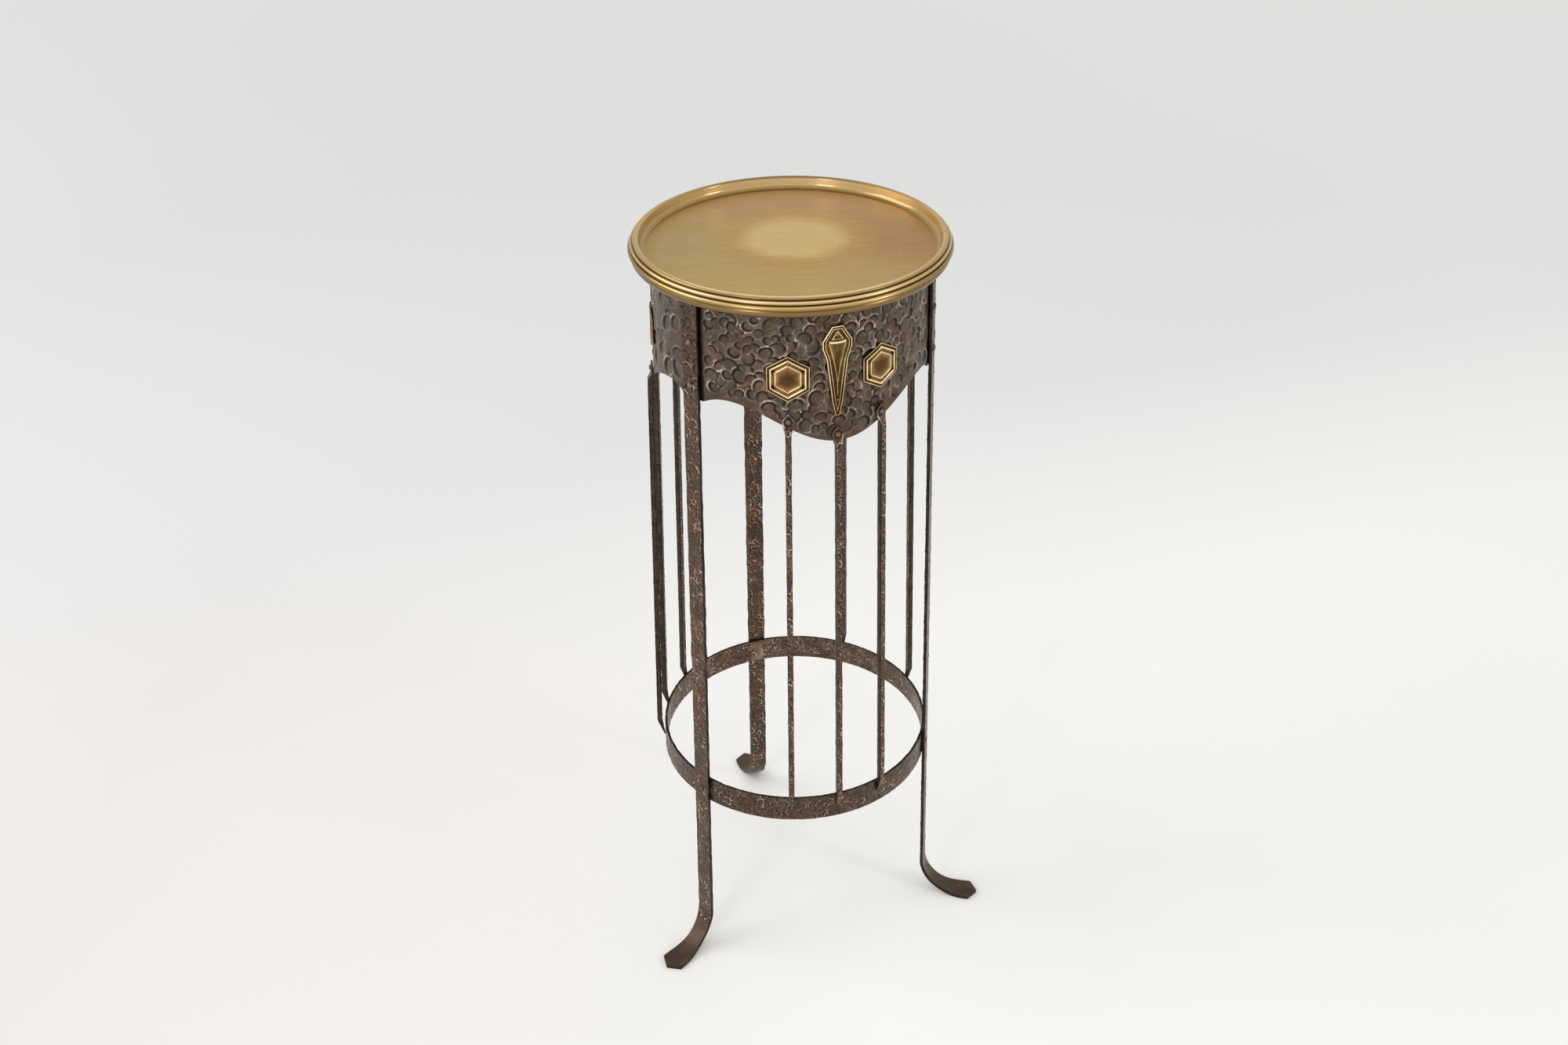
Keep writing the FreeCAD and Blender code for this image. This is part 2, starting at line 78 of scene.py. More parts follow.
def from_leg(panel_angle):
    """Distance along the apron to the middle of the nearest leg."""
    return np.radians(PANEL_SPAN / 2 - np.abs(panel_angle)) * APRON_TOP_RADIUS


def apron_edge(panel_angle):
    """Height of the apron's cut edge at angles from the middle of a panel."""
    away = np.abs(panel_angle - SWAG_MIDDLE)
    swag = SWAG_DROP - (SWAG_DROP - ARCH_DROP) * (1 - np.cos(np.pi * away / ARCH_ANGLE)) / 2
    cusp = np.abs(np.copysign(CUSP_ANGLE, panel_angle) - SWAG_MIDDLE)
    arch = ARCH_DROP + (TAB_DROP - ARCH_DROP) * ((away - ARCH_ANGLE) / (cusp - ARCH_ANGLE)) ** 2
    drop = np.where(away <= ARCH_ANGLE, swag, arch)
    return APRON_TOP - np.where(np.abs(panel_angle) <= CUSP_ANGLE, drop, TAB_DROP)


def between(value, start, end):
    """0 at the start to 1 at the end, and held past both."""
    return np.clip((value - start) / (end - start), 0, 1)


def bell(distance, breadth):
    """1 at no distance, falling smoothly to nothing past the breadth."""
    return np.exp(-(distance / breadth) ** 2)


def scattered(rng, tries, box, closeness, radii, depths, slants, bare):
    """Random marks in a box, none nearer to another than a share of their two radii."""
    marks = np.zeros((tries, 5))
    count = 0
    for u, v in rng.uniform(box[0], box[1], (tries, 2)):
        radius = rng.uniform(*radii)
        apart = np.hypot(marks[:count, 0] - u, marks[:count, 1] - v)
        if bare(u, v) or (apart < closeness * (marks[:count, 2] + radius)).any():
            continue
        marks[count] = u, v, radius, rng.uniform(*depths), rng.normal(*slants)
        count += 1
    return marks[:count]


def struck(u, v, marks, plain, rub, bite, ringed):
    """Height, and rubbing with painted shading, of a face under slanting round marks.

    A mark's slant is the way that its deep side faces, which is dark with grime and painted shade,
    and also makes it more or less oval, whole and bright from rubbing than its neighbours.
    """
    height = np.zeros(v.shape)
    wear_and_shading = np.full(v.shape, plain)
    for mark_u, mark_v, radius, depth, slant in marks:
        near = slice(*np.searchsorted(u, (mark_u - MARK_REACH * radius, mark_u + MARK_REACH * radius)))
        du = (u[near, None] - mark_u) / radius
        dv = (v[near] - mark_v) / radius
        along = du * math.cos(slant) + dv * math.sin(slant)
        aside = dv * math.cos(slant) - du * math.sin(slant)
        oval = 1 + 0.16 * math.sin(7 * slant)
        away = np.hypot(along, aside * oval + 0.1 * along)
        deep = np.clip(0.5 + 0.5 * along, 0, 1)
        whole = 2 * ringed * (3 * slant % 1)
        shown = whole + (1 - whole) * deep ** bite
        inside = between(away, MARK_EDGE, MARK_FLOOR)
        burr = bell((away - BURR_AT) * radius, BURR_BREADTH) * shown * (1 - inside)
        # The pit's darkening is grime and painted shade, and the glint is a painted highlight.
        pit_grime_and_shade = bell((away - PIT_AT) * radius, PIT_BREADTH) * shown
        glint = bell((away - GLINT_AT) * radius, BURR_BREADTH) * (1 - deep) ** 2
        gap = -depth * (0.25 + 1.5 * deep) - height[near]
        height[near] += inside * np.where(gap < 0, gap, 0.4 * gap) + 0.2 * depth * burr
        wear_and_shading[near] += inside * (plain - 0.95 * pit_grime_and_shade + 2 * ringed * glint - wear_and_shading[near])
        wear_and_shading[near] += 0.9 * burr * (5 * slant % 1) ** rub * (1 - wear_and_shading[near])
    return height, wear_and_shading


def grid_faces(rows, columns, close_rows, close_columns):
    """Quads over a grid of points, joined end to end where it closes."""
    corner = np.arange(rows * columns).reshape(rows, columns)
    if close_rows:
        corner = np.vstack([corner, corner[:1]])
    if close_columns:
        corner = np.hstack([corner, corner[:, :1]])
    quads = [corner[:-1, :-1], corner[1:, :-1], corner[1:, 1:], corner[:-1, 1:]]
    return np.stack(quads, axis=-1).reshape(-1, 4).tolist()


def add_piece(name, points, faces, wear_and_shading, finish, slot, body, *nodes):
    """A smooth mesh piece with a value for rubbing and painted shading at each point, standing for CAD
    nodes on a body.
    """
    mesh = bpy.data.meshes.new(name)
    mesh.from_pydata(np.reshape(points, (-1, 3)) * 0.001, [], faces)
    mesh.shade_smooth()
    mesh.attributes.new("wear_and_shading", "FLOAT", "POINT").data.foreach_set("value", np.ravel(wear_and_shading))
    mesh.materials.append(finish)
    piece = bpy.data.objects.new(name, mesh)
    bpy.context.scene.collection.objects.link(piece)
    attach(piece, body)
    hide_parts(*nodes)


def node(finish, kind, inputs, **settings):
    """A shader node with settings, and inputs that are values or other nodes' outputs."""
    made = finish.node_tree.nodes.new("ShaderNode" + kind)
    for key, value in settings.items():
        setattr(made, key, value)
    for key, value in inputs.items():
        if isinstance(value, bpy.types.NodeSocket):
            finish.node_tree.links.new(value, made.inputs[key])
        else:
            made.inputs[key].default_value = value
    return made


def linear(red, green, blue):
    """A colour given as it looks on screen, 0 to 255, as the light it stands for."""
    return [((c / 255 + 0.055) / 1.055) ** 2.4 for c in (red, green, blue)] + [1.0]


def ramp(finish, value, stops):
    """Colour from a value, by stops of position and screen colour."""
    made = node(finish, "ValToRGB", {"Fac": value})
    band = made.color_ramp
    while len(band.elements) < len(stops):
        band.elements.new(1.0)
    for element, (position, colour) in zip(band.elements, stops):
        element.position = position
        element.color = linear(*colour)
    return made.outputs["Color"]


def mixed(finish, factor, first, second):
    """Colour between two colours or sockets by a factor."""
    made = node(finish, "Mix", {0: factor, 6: first, 7: second}, data_type="RGBA")
    return made.outputs[2]


def spread(finish, value, low, high, to_low=0.0, to_high=1.0):
    """A value from one range carried to another, held at its ends."""
    names = {"Value": value, "From Min": low, "From Max": high, "To Min": to_low, "To Max": to_high}
    return node(finish, "MapRange", names).outputs["Result"]


def noise(finish, place, size, detail, roughness=0.55):
    """Soft random pattern with features of about a size."""
    names = {"Vector": place, "Scale": 1000 / size, "Detail": detail, "Roughness": roughness}
    return node(finish, "TexNoise", names).outputs["Fac"]


def added(finish, first, second, factor):
    """One value plus another times a factor."""
    names = {0: second, 1: factor, 2: first}
    return node(finish, "Math", names, operation="MULTIPLY_ADD").outputs["Value"]


def new_finish(name):
    """A new node material, its shader, and the place on the piece."""
    finish = bpy.data.materials.new(name)
    finish.use_nodes = True
    shader = finish.node_tree.nodes["Principled BSDF"]
    place = node(finish, "TexCoord", {}).outputs["Object"]
    return finish, shader, place


def worn_and_shaded(finish):
    """The piece's rubbing, with its painted highlights and shade, as its mesh says."""
    return node(finish, "Attribute", {}, attribute_name="wear_and_shading").outputs["Fac"]


def uneven(finish, shader, height, strength, depth):
    """Fine unevenness of the surface, from a pattern."""
    bump = node(finish, "Bump", {"Height": height, "Strength": strength, "Distance": 0.001 * depth})
    finish.node_tree.links.new(bump.outputs["Normal"], shader.inputs["Normal"])


def iron_finish(name, bare, rust, rust_share, gloss, rubs):
    """Dark forged iron: grime and painted shade in the pits, painted glints, burrs bright from rubbing here
    and there, rust in patches.
    """
    finish, shader, place = new_finish(name)
    link = finish.node_tree.links.new
    wear_and_shading = worn_and_shaded(finish)
    grain = noise(finish, place, size=2.6, detail=5, roughness=0.65)
    cloud = noise(finish, place, size=20, detail=4)
    rubbing = spread(finish, noise(finish, place, size=13, detail=3), 0.38, 0.62, *rubs)
    rubbed_and_shaded = node(finish, "Mix", {0: rubbing, 2: 0.48, 3: wear_and_shading}, clamp_factor=False).outputs[0]
    tone = added(finish, added(finish, rubbed_and_shaded, grain, 0.3), cloud, 0.4)
    tone = spread(finish, tone, 0.35, 1.35)
    blotch = noise(finish, place, size=22, detail=5, roughness=0.62)
    patches = spread(finish, blotch, 0.48, 0.64, 0.0, rust_share)
    colour = mixed(finish, patches, ramp(finish, tone, bare), ramp(finish, tone, rust))
    link(colour, shader.inputs["Base Color"])
    shader.inputs["Metallic"].default_value = 0.6
    polish = spread(finish, added(finish, grain, cloud, 1.0), 0.7, 1.3, *gloss)
    link(polish, shader.inputs["Roughness"])
    uneven(finish, shader, grain, strength=0.3, depth=0.5)
    return finish


apron_iron = iron_finish(
    "apron_iron",
    bare=[(0.12, (14, 10, 7)), (0.34, (45, 35, 27)), (0.54, (80, 67, 55)),
          (0.74, (117, 103, 90)), (0.96, (188, 176, 162))],
    rust=[(0.12, (17, 10, 6)), (0.34, (52, 34, 25)), (0.54, (89, 65, 50)),
          (0.74, (123, 98, 81)), (0.96, (184, 166, 150))],
    rust_share=0.75, gloss=(0.28, 0.5), rubs=(0.65, 1.5),
)

around = np.linspace(-180, 180, APRON_STEPS, endpoint=False)
on_panel = across_panel(around)
cut_edge = apron_edge(on_panel)
apron_z = cut_edge[:, None] + (APRON_TOP - cut_edge)[:, None] * np.linspace(0, 1, APRON_ROWS)
apron_u = np.radians(around) * APRON_TOP_RADIUS


def apron_bare(u, v):
    """True beside a leg and along the cut edge, which the punch left alone."""
    panel_angle = across_panel(math.degrees(u / APRON_TOP_RADIUS))
    by_the_cut = v < apron_edge(np.array(panel_angle)) + PUNCH_FROM_CUT
    return from_leg(panel_angle) < PUNCH_FROM_LEG or by_the_cut


rng = np.random.default_rng(11)
punch_box = ((apron_u[0], APRON_TOP - SWAG_DROP), (apron_u[-1], APRON_TOP - PUNCH_FROM_TOP))
punches = scattered(rng, tries=9000, box=punch_box, closeness=0.66, radii=(4.6, 8.2),
                    depths=(0.6, 1.2), slants=(1.8, 0.9), bare=apron_bare)
punch_angle = np.degrees(punches[:, 0] / APRON_TOP_RADIUS)
sparse = (punch_angle > SPARSE_START) & (punch_angle < SPARSE_END)
punches[sparse, 2] *= SPARSE_GROWTH
three_of_five = np.arange(len(punches)) % 5 < 3
punches = punches[~sparse | three_of_five]
apron_height, apron_wear_and_shading = struck(apron_u, apron_z, punches, plain=0.54, rub=0.5, bite=1.8, ringed=0.22)
# Painted shadow: the apron is darkened within a few millimetres of each leg's sides.
from_leg_side = from_leg(on_panel) - LEG_WIDTH / 2
apron_wear_and_shading -= LEG_SHADE * between(from_leg_side, LEG_SHADE_FROM, LEG_SHADE_FULL)[:, None]
back_rows = np.linspace(APRON_ROWS - 1, 0, APRON_BACK_ROWS).round().astype(int)
apron_points = np.concatenate([
    on_cone(around[:, None], apron_z, apron_height),
    on_cone(around[:, None], apron_z[:, back_rows], apron_height[:, back_rows] - APRON_SHEET),
], axis=1)
apron_wear_and_shading = np.hstack([apron_wear_and_shading, np.full((APRON_STEPS, APRON_BACK_ROWS), INSIDE_WEAR)])
add_piece("hammered_apron", apron_points, grid_faces(*apron_wear_and_shading.shape, True, True), apron_wear_and_shading,
          apron_iron, "apron_iron", "stand", "apron_drum")

# Lower hoop: a flat iron band bent into a ring inside the legs, hammered on both faces, with
# soft edges that wander a little from the hammer. One rivet holds it to each leg.
HOOP_BAND, HOOP_WALL = 30.6, 3.0
HOOP_STEPS, FACE_COLUMNS = 960, 23
HOOP_SEAM, HOOP_RIPPLE = 6.0, 0.35
EDGE_SOFT = 0.4
HOOP_EDGE_WEAR = 0.1


def wander(rng, count, reach):
    """A smooth random line of unit spread that turns about every so many points."""
    line = np.convolve(rng.normal(size=count + 2 * reach), np.hanning(2 * reach + 1), "valid")
    return line / line.std()


bar_iron = iron_finish(
    "bar_iron",
    bare=[(0.1, (24, 17, 13)), (0.36, (56, 43, 33)), (0.54, (83, 65, 51)),
          (0.72, (118, 99, 84)), (0.94, (202, 184, 166))],
    rust=[(0.1, (32, 19, 13)), (0.36, (66, 44, 31)), (0.54, (98, 68, 48)),
          (0.72, (136, 106, 83)), (0.94, (204, 180, 154))],
    rust_share=0.9, gloss=(0.26, 0.48), rubs=(0.4, 1.4),
)
rng = np.random.default_rng(12)
hoop_around = np.linspace(-180, 180, HOOP_STEPS, endpoint=False)
hoop_u = np.radians(hoop_around) * HOOP_RADIUS
face_across = np.linspace(-1, 1, FACE_COLUMNS)
hoop_half = HOOP_BAND / 2 - EDGE_SOFT
hoop_z = HOOP_MIDDLE + hoop_half * face_across + 0 * hoop_u[:, None]
hoop_box = ((hoop_u[0] + HOOP_SEAM, HOOP_MIDDLE - hoop_half),
            (hoop_u[-1] - HOOP_SEAM, HOOP_MIDDLE + hoop_half))
hoop_faces = []
for plain in (0.54, 0.64):
    marks = scattered(rng, tries=4000, box=hoop_box, closeness=0.62, radii=(2.5, 4.6),
                      depths=(0.16, 0.36), slants=(2.2, 1.0), bare=lambda u, v: False)
    hoop_faces.append(struck(hoop_u, hoop_z, marks, plain, rub=0.8, bite=2.0, ringed=0.0))
# Both faces carry the marks' pits, dark with grime and painted shade.
(outer_height, outer_wear_and_shading), (inner_height, inner_wear_and_shading) = hoop_faces
ripple = -HOOP_RIPPLE * np.abs(wander(rng, HOOP_STEPS, 12))[:, None]
top_edge = HOOP_MIDDLE + HOOP_BAND / 2 + ripple
low_edge = HOOP_MIDDLE - HOOP_BAND / 2 - ripple
turn = hoop_around[:, None]
hoop_points = np.concatenate([
    on_cone(turn, hoop_z, outer_height),
    on_cone(turn, top_edge, -EDGE_SOFT + 0 * turn),
    on_cone(turn, top_edge, EDGE_SOFT - HOOP_WALL + 0 * turn),
    on_cone(turn, hoop_z[:, ::-1], -HOOP_WALL - inner_height[:, ::-1]),
    on_cone(turn, low_edge, EDGE_SOFT - HOOP_WALL + 0 * turn),
    on_cone(turn, low_edge, -EDGE_SOFT + 0 * turn),
], axis=1)
edge_wear_and_shading = np.full((HOOP_STEPS, 2), HOOP_EDGE_WEAR)
hoop_wear_and_shading = np.hstack([outer_wear_and_shading, edge_wear_and_shading, inner_wear_and_shading[:, ::-1], edge_wear_and_shading])
add_piece("hoop_band", hoop_points, grid_faces(*hoop_wear_and_shading.shape, True, True), hoop_wear_and_shading,
          bar_iron, "bar_iron", "stand", "lower_hoop")

# Legs: flat iron bars riveted outside the apron and the hoop, hammered along their face. At the
# floor each is bent outwards and spread into a flat pointed foot, which is left smoother.
LEG_ANGLES = {"left": -PANEL_SPAN / 2, "right": PANEL_SPAN / 2, "back": 1.5 * PANEL_SPAN}
LEG_THICK, LEG_TOP, SEAT = 4.0, 824.0, 0.05
BEND_RADIUS, FOOT_WIDTH, FOOT_FLAT, FOOT_POINT, FOOT_FLARE = 50.0, 28.0, 10.6, 9.0, 40.0
FOOT_BLUNT, LEAST_WIDTH = 0.4, 0.04
LEG_STEPS, BEND_STEPS, FOOT_STEPS = 760, 76, 10
STROKES_PAST_BEND, FADE_PAST_STROKES, FADE, FOOT_WORK = 22.0, 30.0, 40.0, 0.12
LEG_WAVER, FOOT_SHADE = 0.22, 0.12
# The legs' side faces are dark with painted shade.
LEG_EDGE_PAINTED_SHADE, LEG_SIDE_SHARE = 0.04, 0.3
SIDE_ROWS = np.array([1.0, 0.72, 0.28, 0.0])


def forged_bar(name, angle, base, lift, half, thick, front, back, edge_wear_and_shading, side_share, node_name):
    """A bar through stations in the upright plane at an angle, its faces worked, its edges soft.

    The base and lift of each station are distances from the axis and heights. The front and back
    are heights and values of rubbing and painted shading over the two faces, and the sides show a share of
    the front's values between their own edge values.
    """
    count, columns = front[0].shape
    soft = np.minimum(EDGE_SOFT, 0.45 * np.minimum(half, thick))[:, None]
    half, thick, edge_wear_and_shading = half[:, None], thick[:, None], edge_wear_and_shading[:, None]
    unit = np.linspace(-1, 1, columns)
    side_x = half * np.ones(len(SIDE_ROWS))
    side_h = soft + (thick - 2 * soft) * SIDE_ROWS
    flecks = side_share * front[1][:, [columns // 4, 3 * columns // 4]]
    side_wear_and_shading = np.hstack([edge_wear_and_shading, flecks, edge_wear_and_shading])
    x = np.hstack([(half - soft) * unit, side_x, (half - soft) * unit[::-1], -side_x])
    h = np.hstack([thick + front[0], side_h, -back[0], side_h[:, ::-1]])
    wear_and_shading = np.hstack([front[1], side_wear_and_shading, back[1], side_wear_and_shading[:, ::-1]])
    turn = math.radians(angle)
    radius = base[:, :1] + lift[:, :1] * h
    points = np.stack([
        radius * math.sin(turn) + x * math.cos(turn),
        -radius * math.cos(turn) + x * math.sin(turn),
        base[:, 1:] + lift[:, 1:] * h,
    ], axis=-1)
    ring = x.shape[1]
    faces = grid_faces(count, ring, False, True)
    faces += [list(range(ring)), list(range(count * ring - 1, (count - 1) * ring - 1, -1))]
    add_piece(name, points, faces, wear_and_shading, bar_iron, "bar_iron", "stand", node_name)


lean = math.atan(CONE_GROWTH)
bend_r = cone_radius(BEND_RADIUS) + SEAT + BEND_RADIUS * math.hypot(1, CONE_GROWTH)
straight_z = np.linspace(LEG_TOP, BEND_RADIUS - BEND_RADIUS * math.sin(lean), LEG_STEPS)
straight = np.stack([cone_radius(straight_z) + SEAT, straight_z], axis=-1)
swing = np.linspace(math.pi + lean, 1.5 * math.pi, BEND_STEPS)[1:]
heading = np.stack([np.cos(swing), np.sin(swing)], axis=-1)
bend = np.array([bend_r, BEND_RADIUS]) + BEND_RADIUS * heading
flat_reach = np.linspace(0, FOOT_FLAT, FOOT_STEPS)[1:]
point_reach = FOOT_FLAT + np.linspace(0, FOOT_POINT - FOOT_BLUNT, FOOT_STEPS)[1:]
foot_r = bend_r + np.concatenate([flat_reach, point_reach])
foot = np.stack([foot_r, 0 * foot_r], axis=-1)
leg_base = np.concatenate([straight, bend, foot])
upright = np.tile([math.cos(lean), math.sin(lean)], (len(straight), 1))
leg_lift = np.concatenate([upright, -heading, np.tile([0.0, 1.0], (len(foot), 1))])
leg_u = np.concatenate([[0], np.cumsum(np.hypot(*np.diff(leg_base, axis=0).T))])
plan_r = leg_base[:, 0] + leg_lift[:, 0] * LEG_THICK / 2
flare_end = bend_r + FOOT_FLAT / 2
flare = between(plan_r, flare_end - FOOT_FLARE, flare_end)
leg_half = (LEG_WIDTH + (FOOT_WIDTH - LEG_WIDTH) * flare ** 2 * (3 - 2 * flare)) / 2
leg_half *= np.clip((bend_r + FOOT_FLAT + FOOT_POINT - plan_r) / FOOT_POINT, LEAST_WIDTH, 1)
stroke_end = leg_u[len(straight)] + STROKES_PAST_BEND
worked = np.clip((stroke_end + FADE_PAST_STROKES - leg_u) / FADE, FOOT_WORK, 1)
stroke_box = ((4, -LEG_WIDTH / 2), (stroke_end, LEG_WIDTH / 2))
ring_box = ((3, -LEG_WIDTH / 2), (TAB_DROP, LEG_WIDTH / 2))
on_apron = between(leg_u, TAB_DROP + 4, TAB_DROP - 4)[:, None]
for number, (name, angle) in enumerate(LEG_ANGLES.items()):
    rng = np.random.default_rng(21 + number)
    half = leg_half + LEG_WAVER * worked * wander(rng, len(leg_u), 9)
    v = (half - EDGE_SOFT)[:, None] * face_across
    faces = []
    for face in ("front", "back"):
        strokes = scattered(rng, tries=5000, box=stroke_box, closeness=0.55, radii=(2.3, 4.4),
                            depths=(0.16, 0.38), slants=(2.36, 0.6), bare=lambda u, v: u < TAB_DROP)
        height, wear_and_shading = struck(leg_u, v, strokes, plain=0.58, rub=0.5, bite=2.2, ringed=0.0)
        rings = scattered(rng, tries=900, box=ring_box, closeness=0.74, radii=(3.6, 6.2),
                          depths=(0.25, 0.5), slants=(2.2, 1.0), bare=lambda u, v: u > TAB_DROP)
        head_height, head_wear_and_shading = struck(leg_u, v, rings, plain=0.5, rub=0.9, bite=1.2, ringed=0.12)
        wear_and_shading += on_apron * (head_wear_and_shading - wear_and_shading) - FOOT_SHADE * (1 - worked[:, None])
        faces.append(((height + head_height) * worked[:, None], wear_and_shading))
    forged_bar(f"leg_bar_{name}", angle, leg_base, leg_lift, half, np.full_like(half, LEG_THICK),
               *faces, np.full_like(half, LEG_EDGE_PAINTED_SHADE), LEG_SIDE_SHARE, f"leg_{name}")

# Rods: slim square iron bars between the apron and the hoop. The upper end is hammered flat into
# a small gabled head and riveted on the apron, and the lower end is drawn to a point on the hoop.
PANEL_ANGLES = {"front": 0.0, "right": PANEL_SPAN, "left": -PANEL_SPAN}
ROD_SIZE, ROD_SPREAD, ROD_STANDOFF = 6.0, 19.2, 3.0
HEAD_WIDTH, HEAD_THICK, HEAD_RISE, HEAD_SHOULDER, HEAD_PEAK = 11.6, 2.0, 8.0, 2.5, 0.8
RIVET_LIFT, NECK_DROP, BOW_RISE = 7.5, 5.0, 6.0
TIP_WIDTH, TIP_THICK = 2.4, 1.2
HEAD_STEPS, ROD_STEPS, HEAD_STEPS_END = 44, 330, 4.0
ROD_WAVER, ROD_LEAST = 0.1, 0.35
HEAD_WEAR_END, HEAD_WEAR_FULL = 22.0, 12.0
RIVET_SHADE, RIVET_SHADE_AT, RIVET_SHADE_BREADTH = 0.5, 3.9, 1.1
# The rods' side faces are dark with painted shade, and lighter at the head from rubbing.
ROD_EDGE_PAINTED_SHADE, HEAD_EDGE_WEAR, ROD_SIDE_SHARE = 0.03, 0.55, 0.6

bow = HOOP_MIDDLE + HOOP_BAND / 2 + BOW_RISE
head_face = SEAT + HEAD_THICK
rod_across = np.linspace(-1, 1, 9)
head_border = between(np.abs(rod_across), 0.55, 0.85)
rod_rivet_places = []
for number, (panel_name, panel_angle) in enumerate(PANEL_ANGLES.items()):
    for place, angle in enumerate((-ROD_SPREAD, 0.0, ROD_SPREAD), start=1):
        rng = np.random.default_rng(40 + 3 * number + place)
        cut = float(apron_edge(np.array(angle)))
        neck = cut - NECK_DROP
        rivet_z = cut + RIVET_LIFT
        top = rivet_z + HEAD_RISE
        head_end = neck - HEAD_STEPS_END
        rod_z = np.concatenate([np.linspace(top, head_end, HEAD_STEPS),
                                np.linspace(head_end, HOOP_MIDDLE, ROD_STEPS)[1:]])
        inner = np.interp(rod_z, [HOOP_MIDDLE, bow, neck, top], [SEAT, ROD_STANDOFF, SEAT, SEAT])
        outer = np.interp(
            rod_z,
            [HOOP_MIDDLE, bow, neck, cut + HEAD_SHOULDER, top],
            [SEAT + TIP_THICK, ROD_STANDOFF + ROD_SIZE, SEAT + ROD_SIZE, head_face, head_face],
        )
        width = np.interp(
            rod_z,
            [HOOP_MIDDLE, bow, neck, rivet_z - ROD_SIZE / 2, rivet_z + ROD_SIZE / 4, top],
            [TIP_WIDTH, ROD_SIZE, ROD_SIZE, HEAD_WIDTH, HEAD_WIDTH, HEAD_PEAK],
        )
        rod_u = top - rod_z
        half = np.maximum(width / 2 + ROD_WAVER * wander(rng, len(rod_u), 5), ROD_LEAST)
        v = half[:, None] * rod_across
        mark_box = ((2, -ROD_SIZE / 2), (rod_u[-1] - 8, ROD_SIZE / 2))
        on_head = between(rod_u, HEAD_WEAR_END, HEAD_WEAR_FULL)
        from_rivet = np.hypot((rod_u - HEAD_RISE)[:, None], v)
        head_wear_and_shading = on_head[:, None] * (0.32 * head_border - 0.06)
        # A ring of painted shade round the rivet on the head.
        head_wear_and_shading -= RIVET_SHADE * bell(from_rivet - RIVET_SHADE_AT, RIVET_SHADE_BREADTH)
        faces = []
        for face in ("front", "back"):
            marks = scattered(rng, tries=2000, box=mark_box, closeness=0.68, radii=(2.4, 3.8),
                              depths=(0.12, 0.32), slants=(2.36, 0.8), bare=lambda u, v: False)
            height, wear_and_shading = struck(rod_u, v, marks, plain=0.61, rub=0.6, bite=2.0, ringed=0.0)
            faces.append((height, wear_and_shading + head_wear_and_shading))
        base = np.stack([cone_radius(rod_z) + inner, rod_z], axis=-1)
        lift = np.tile([1.0, 0.0], (len(rod_z), 1))
        forged_bar(f"rod_bar_{panel_name}_{place}", panel_angle + angle, base, lift, half, outer - inner,
                   *faces, ROD_EDGE_PAINTED_SHADE + HEAD_EDGE_WEAR * on_head, ROD_SIDE_SHARE,
                   f"rod_{panel_name}_{place}")
        rod_rivet_places.append((panel_angle + angle, rivet_z))

# Rivets: round-headed iron rivets, domed on the outside and peened over on the inside. Two hold
# each leg to the apron, one holds it to the hoop, and one holds each rod's head.
LEG_RIVET_HEAD, LEG_RIVET_RISE, LEG_RIVET_UPS = 3.6, 1.9, (15.0, 60.0)
HOOP_RIVET_HEAD, HOOP_RIVET_RISE = 3.2, 0.9
ROD_RIVET_HEAD, ROD_RIVET_RISE = 2.9, 2.0
PEENED_SHARE, HEAD_SUNK, CROWN_SHARE = 0.8, 0.5, 0.06
HEAD_SEGMENTS, HEAD_RINGS = 22, 7


def domes(rng, places, radius, rise, seat, facing):
    """Hammered round heads standing on the cone's normal at places of angle and height."""
    turn = np.linspace(0, 2 * math.pi, HEAD_SEGMENTS, endpoint=False)
    climb = np.linspace(0, 0.5 * math.pi, HEAD_RINGS)[:-1]
    reach = np.concatenate([[1.0], np.cos(climb) ** 0.85, [CROWN_SHARE]])[:, None]
    out = np.concatenate([[-HEAD_SUNK], rise * np.sin(climb), [rise]])[:, None]
    rows = len(reach)
    ring = grid_faces(rows, HEAD_SEGMENTS, False, True)
    base = list(range(HEAD_SEGMENTS))
    crown = list(range((rows - 1) * HEAD_SEGMENTS, rows * HEAD_SEGMENTS))
    head_faces = [quad[::-1] for quad in ring] + [base[::-1], crown]
    if facing < 0:
        head_faces = [face[::-1] for face in head_faces]
    points, faces = [], []
    for angle, z in places:
        phase = rng.uniform(0, 2 * math.pi, 3)
        lobes = 1 + 0.05 * np.cos(2 * turn + phase[0]) + 0.03 * np.cos(3 * turn + phase[1])
        across = radius * reach * lobes * np.cos(turn)
        along = radius * reach * lobes * np.sin(turn)
        dent = 0.12 * rise * np.cos(turn + phase[2]) * reach * (out > 0)
        stand_out = facing * (seat + out + dent)
        bearing = math.radians(angle)
        away = np.array([math.sin(bearing), -math.cos(bearing), 0.0])
        side = np.array([math.cos(bearing), math.sin(bearing), 0.0])
        normal = away * math.cos(lean) + np.array([0, 0, math.sin(lean)])
        up = np.array([0, 0, math.cos(lean)]) - away * math.sin(lean)
        start = len(points) * rows * HEAD_SEGMENTS
        faces += [[start + i for i in face] for face in head_faces]
        points.append(on_cone(angle, z, 0.0) + across[..., None] * side
                      + along[..., None] * up + stand_out[..., None] * normal)
    wear_and_shading = np.tile(np.repeat(np.linspace(0.35, 0.8, rows), HEAD_SEGMENTS), len(places))
    return np.reshape(points, (-1, 3)), faces, wear_and_shading


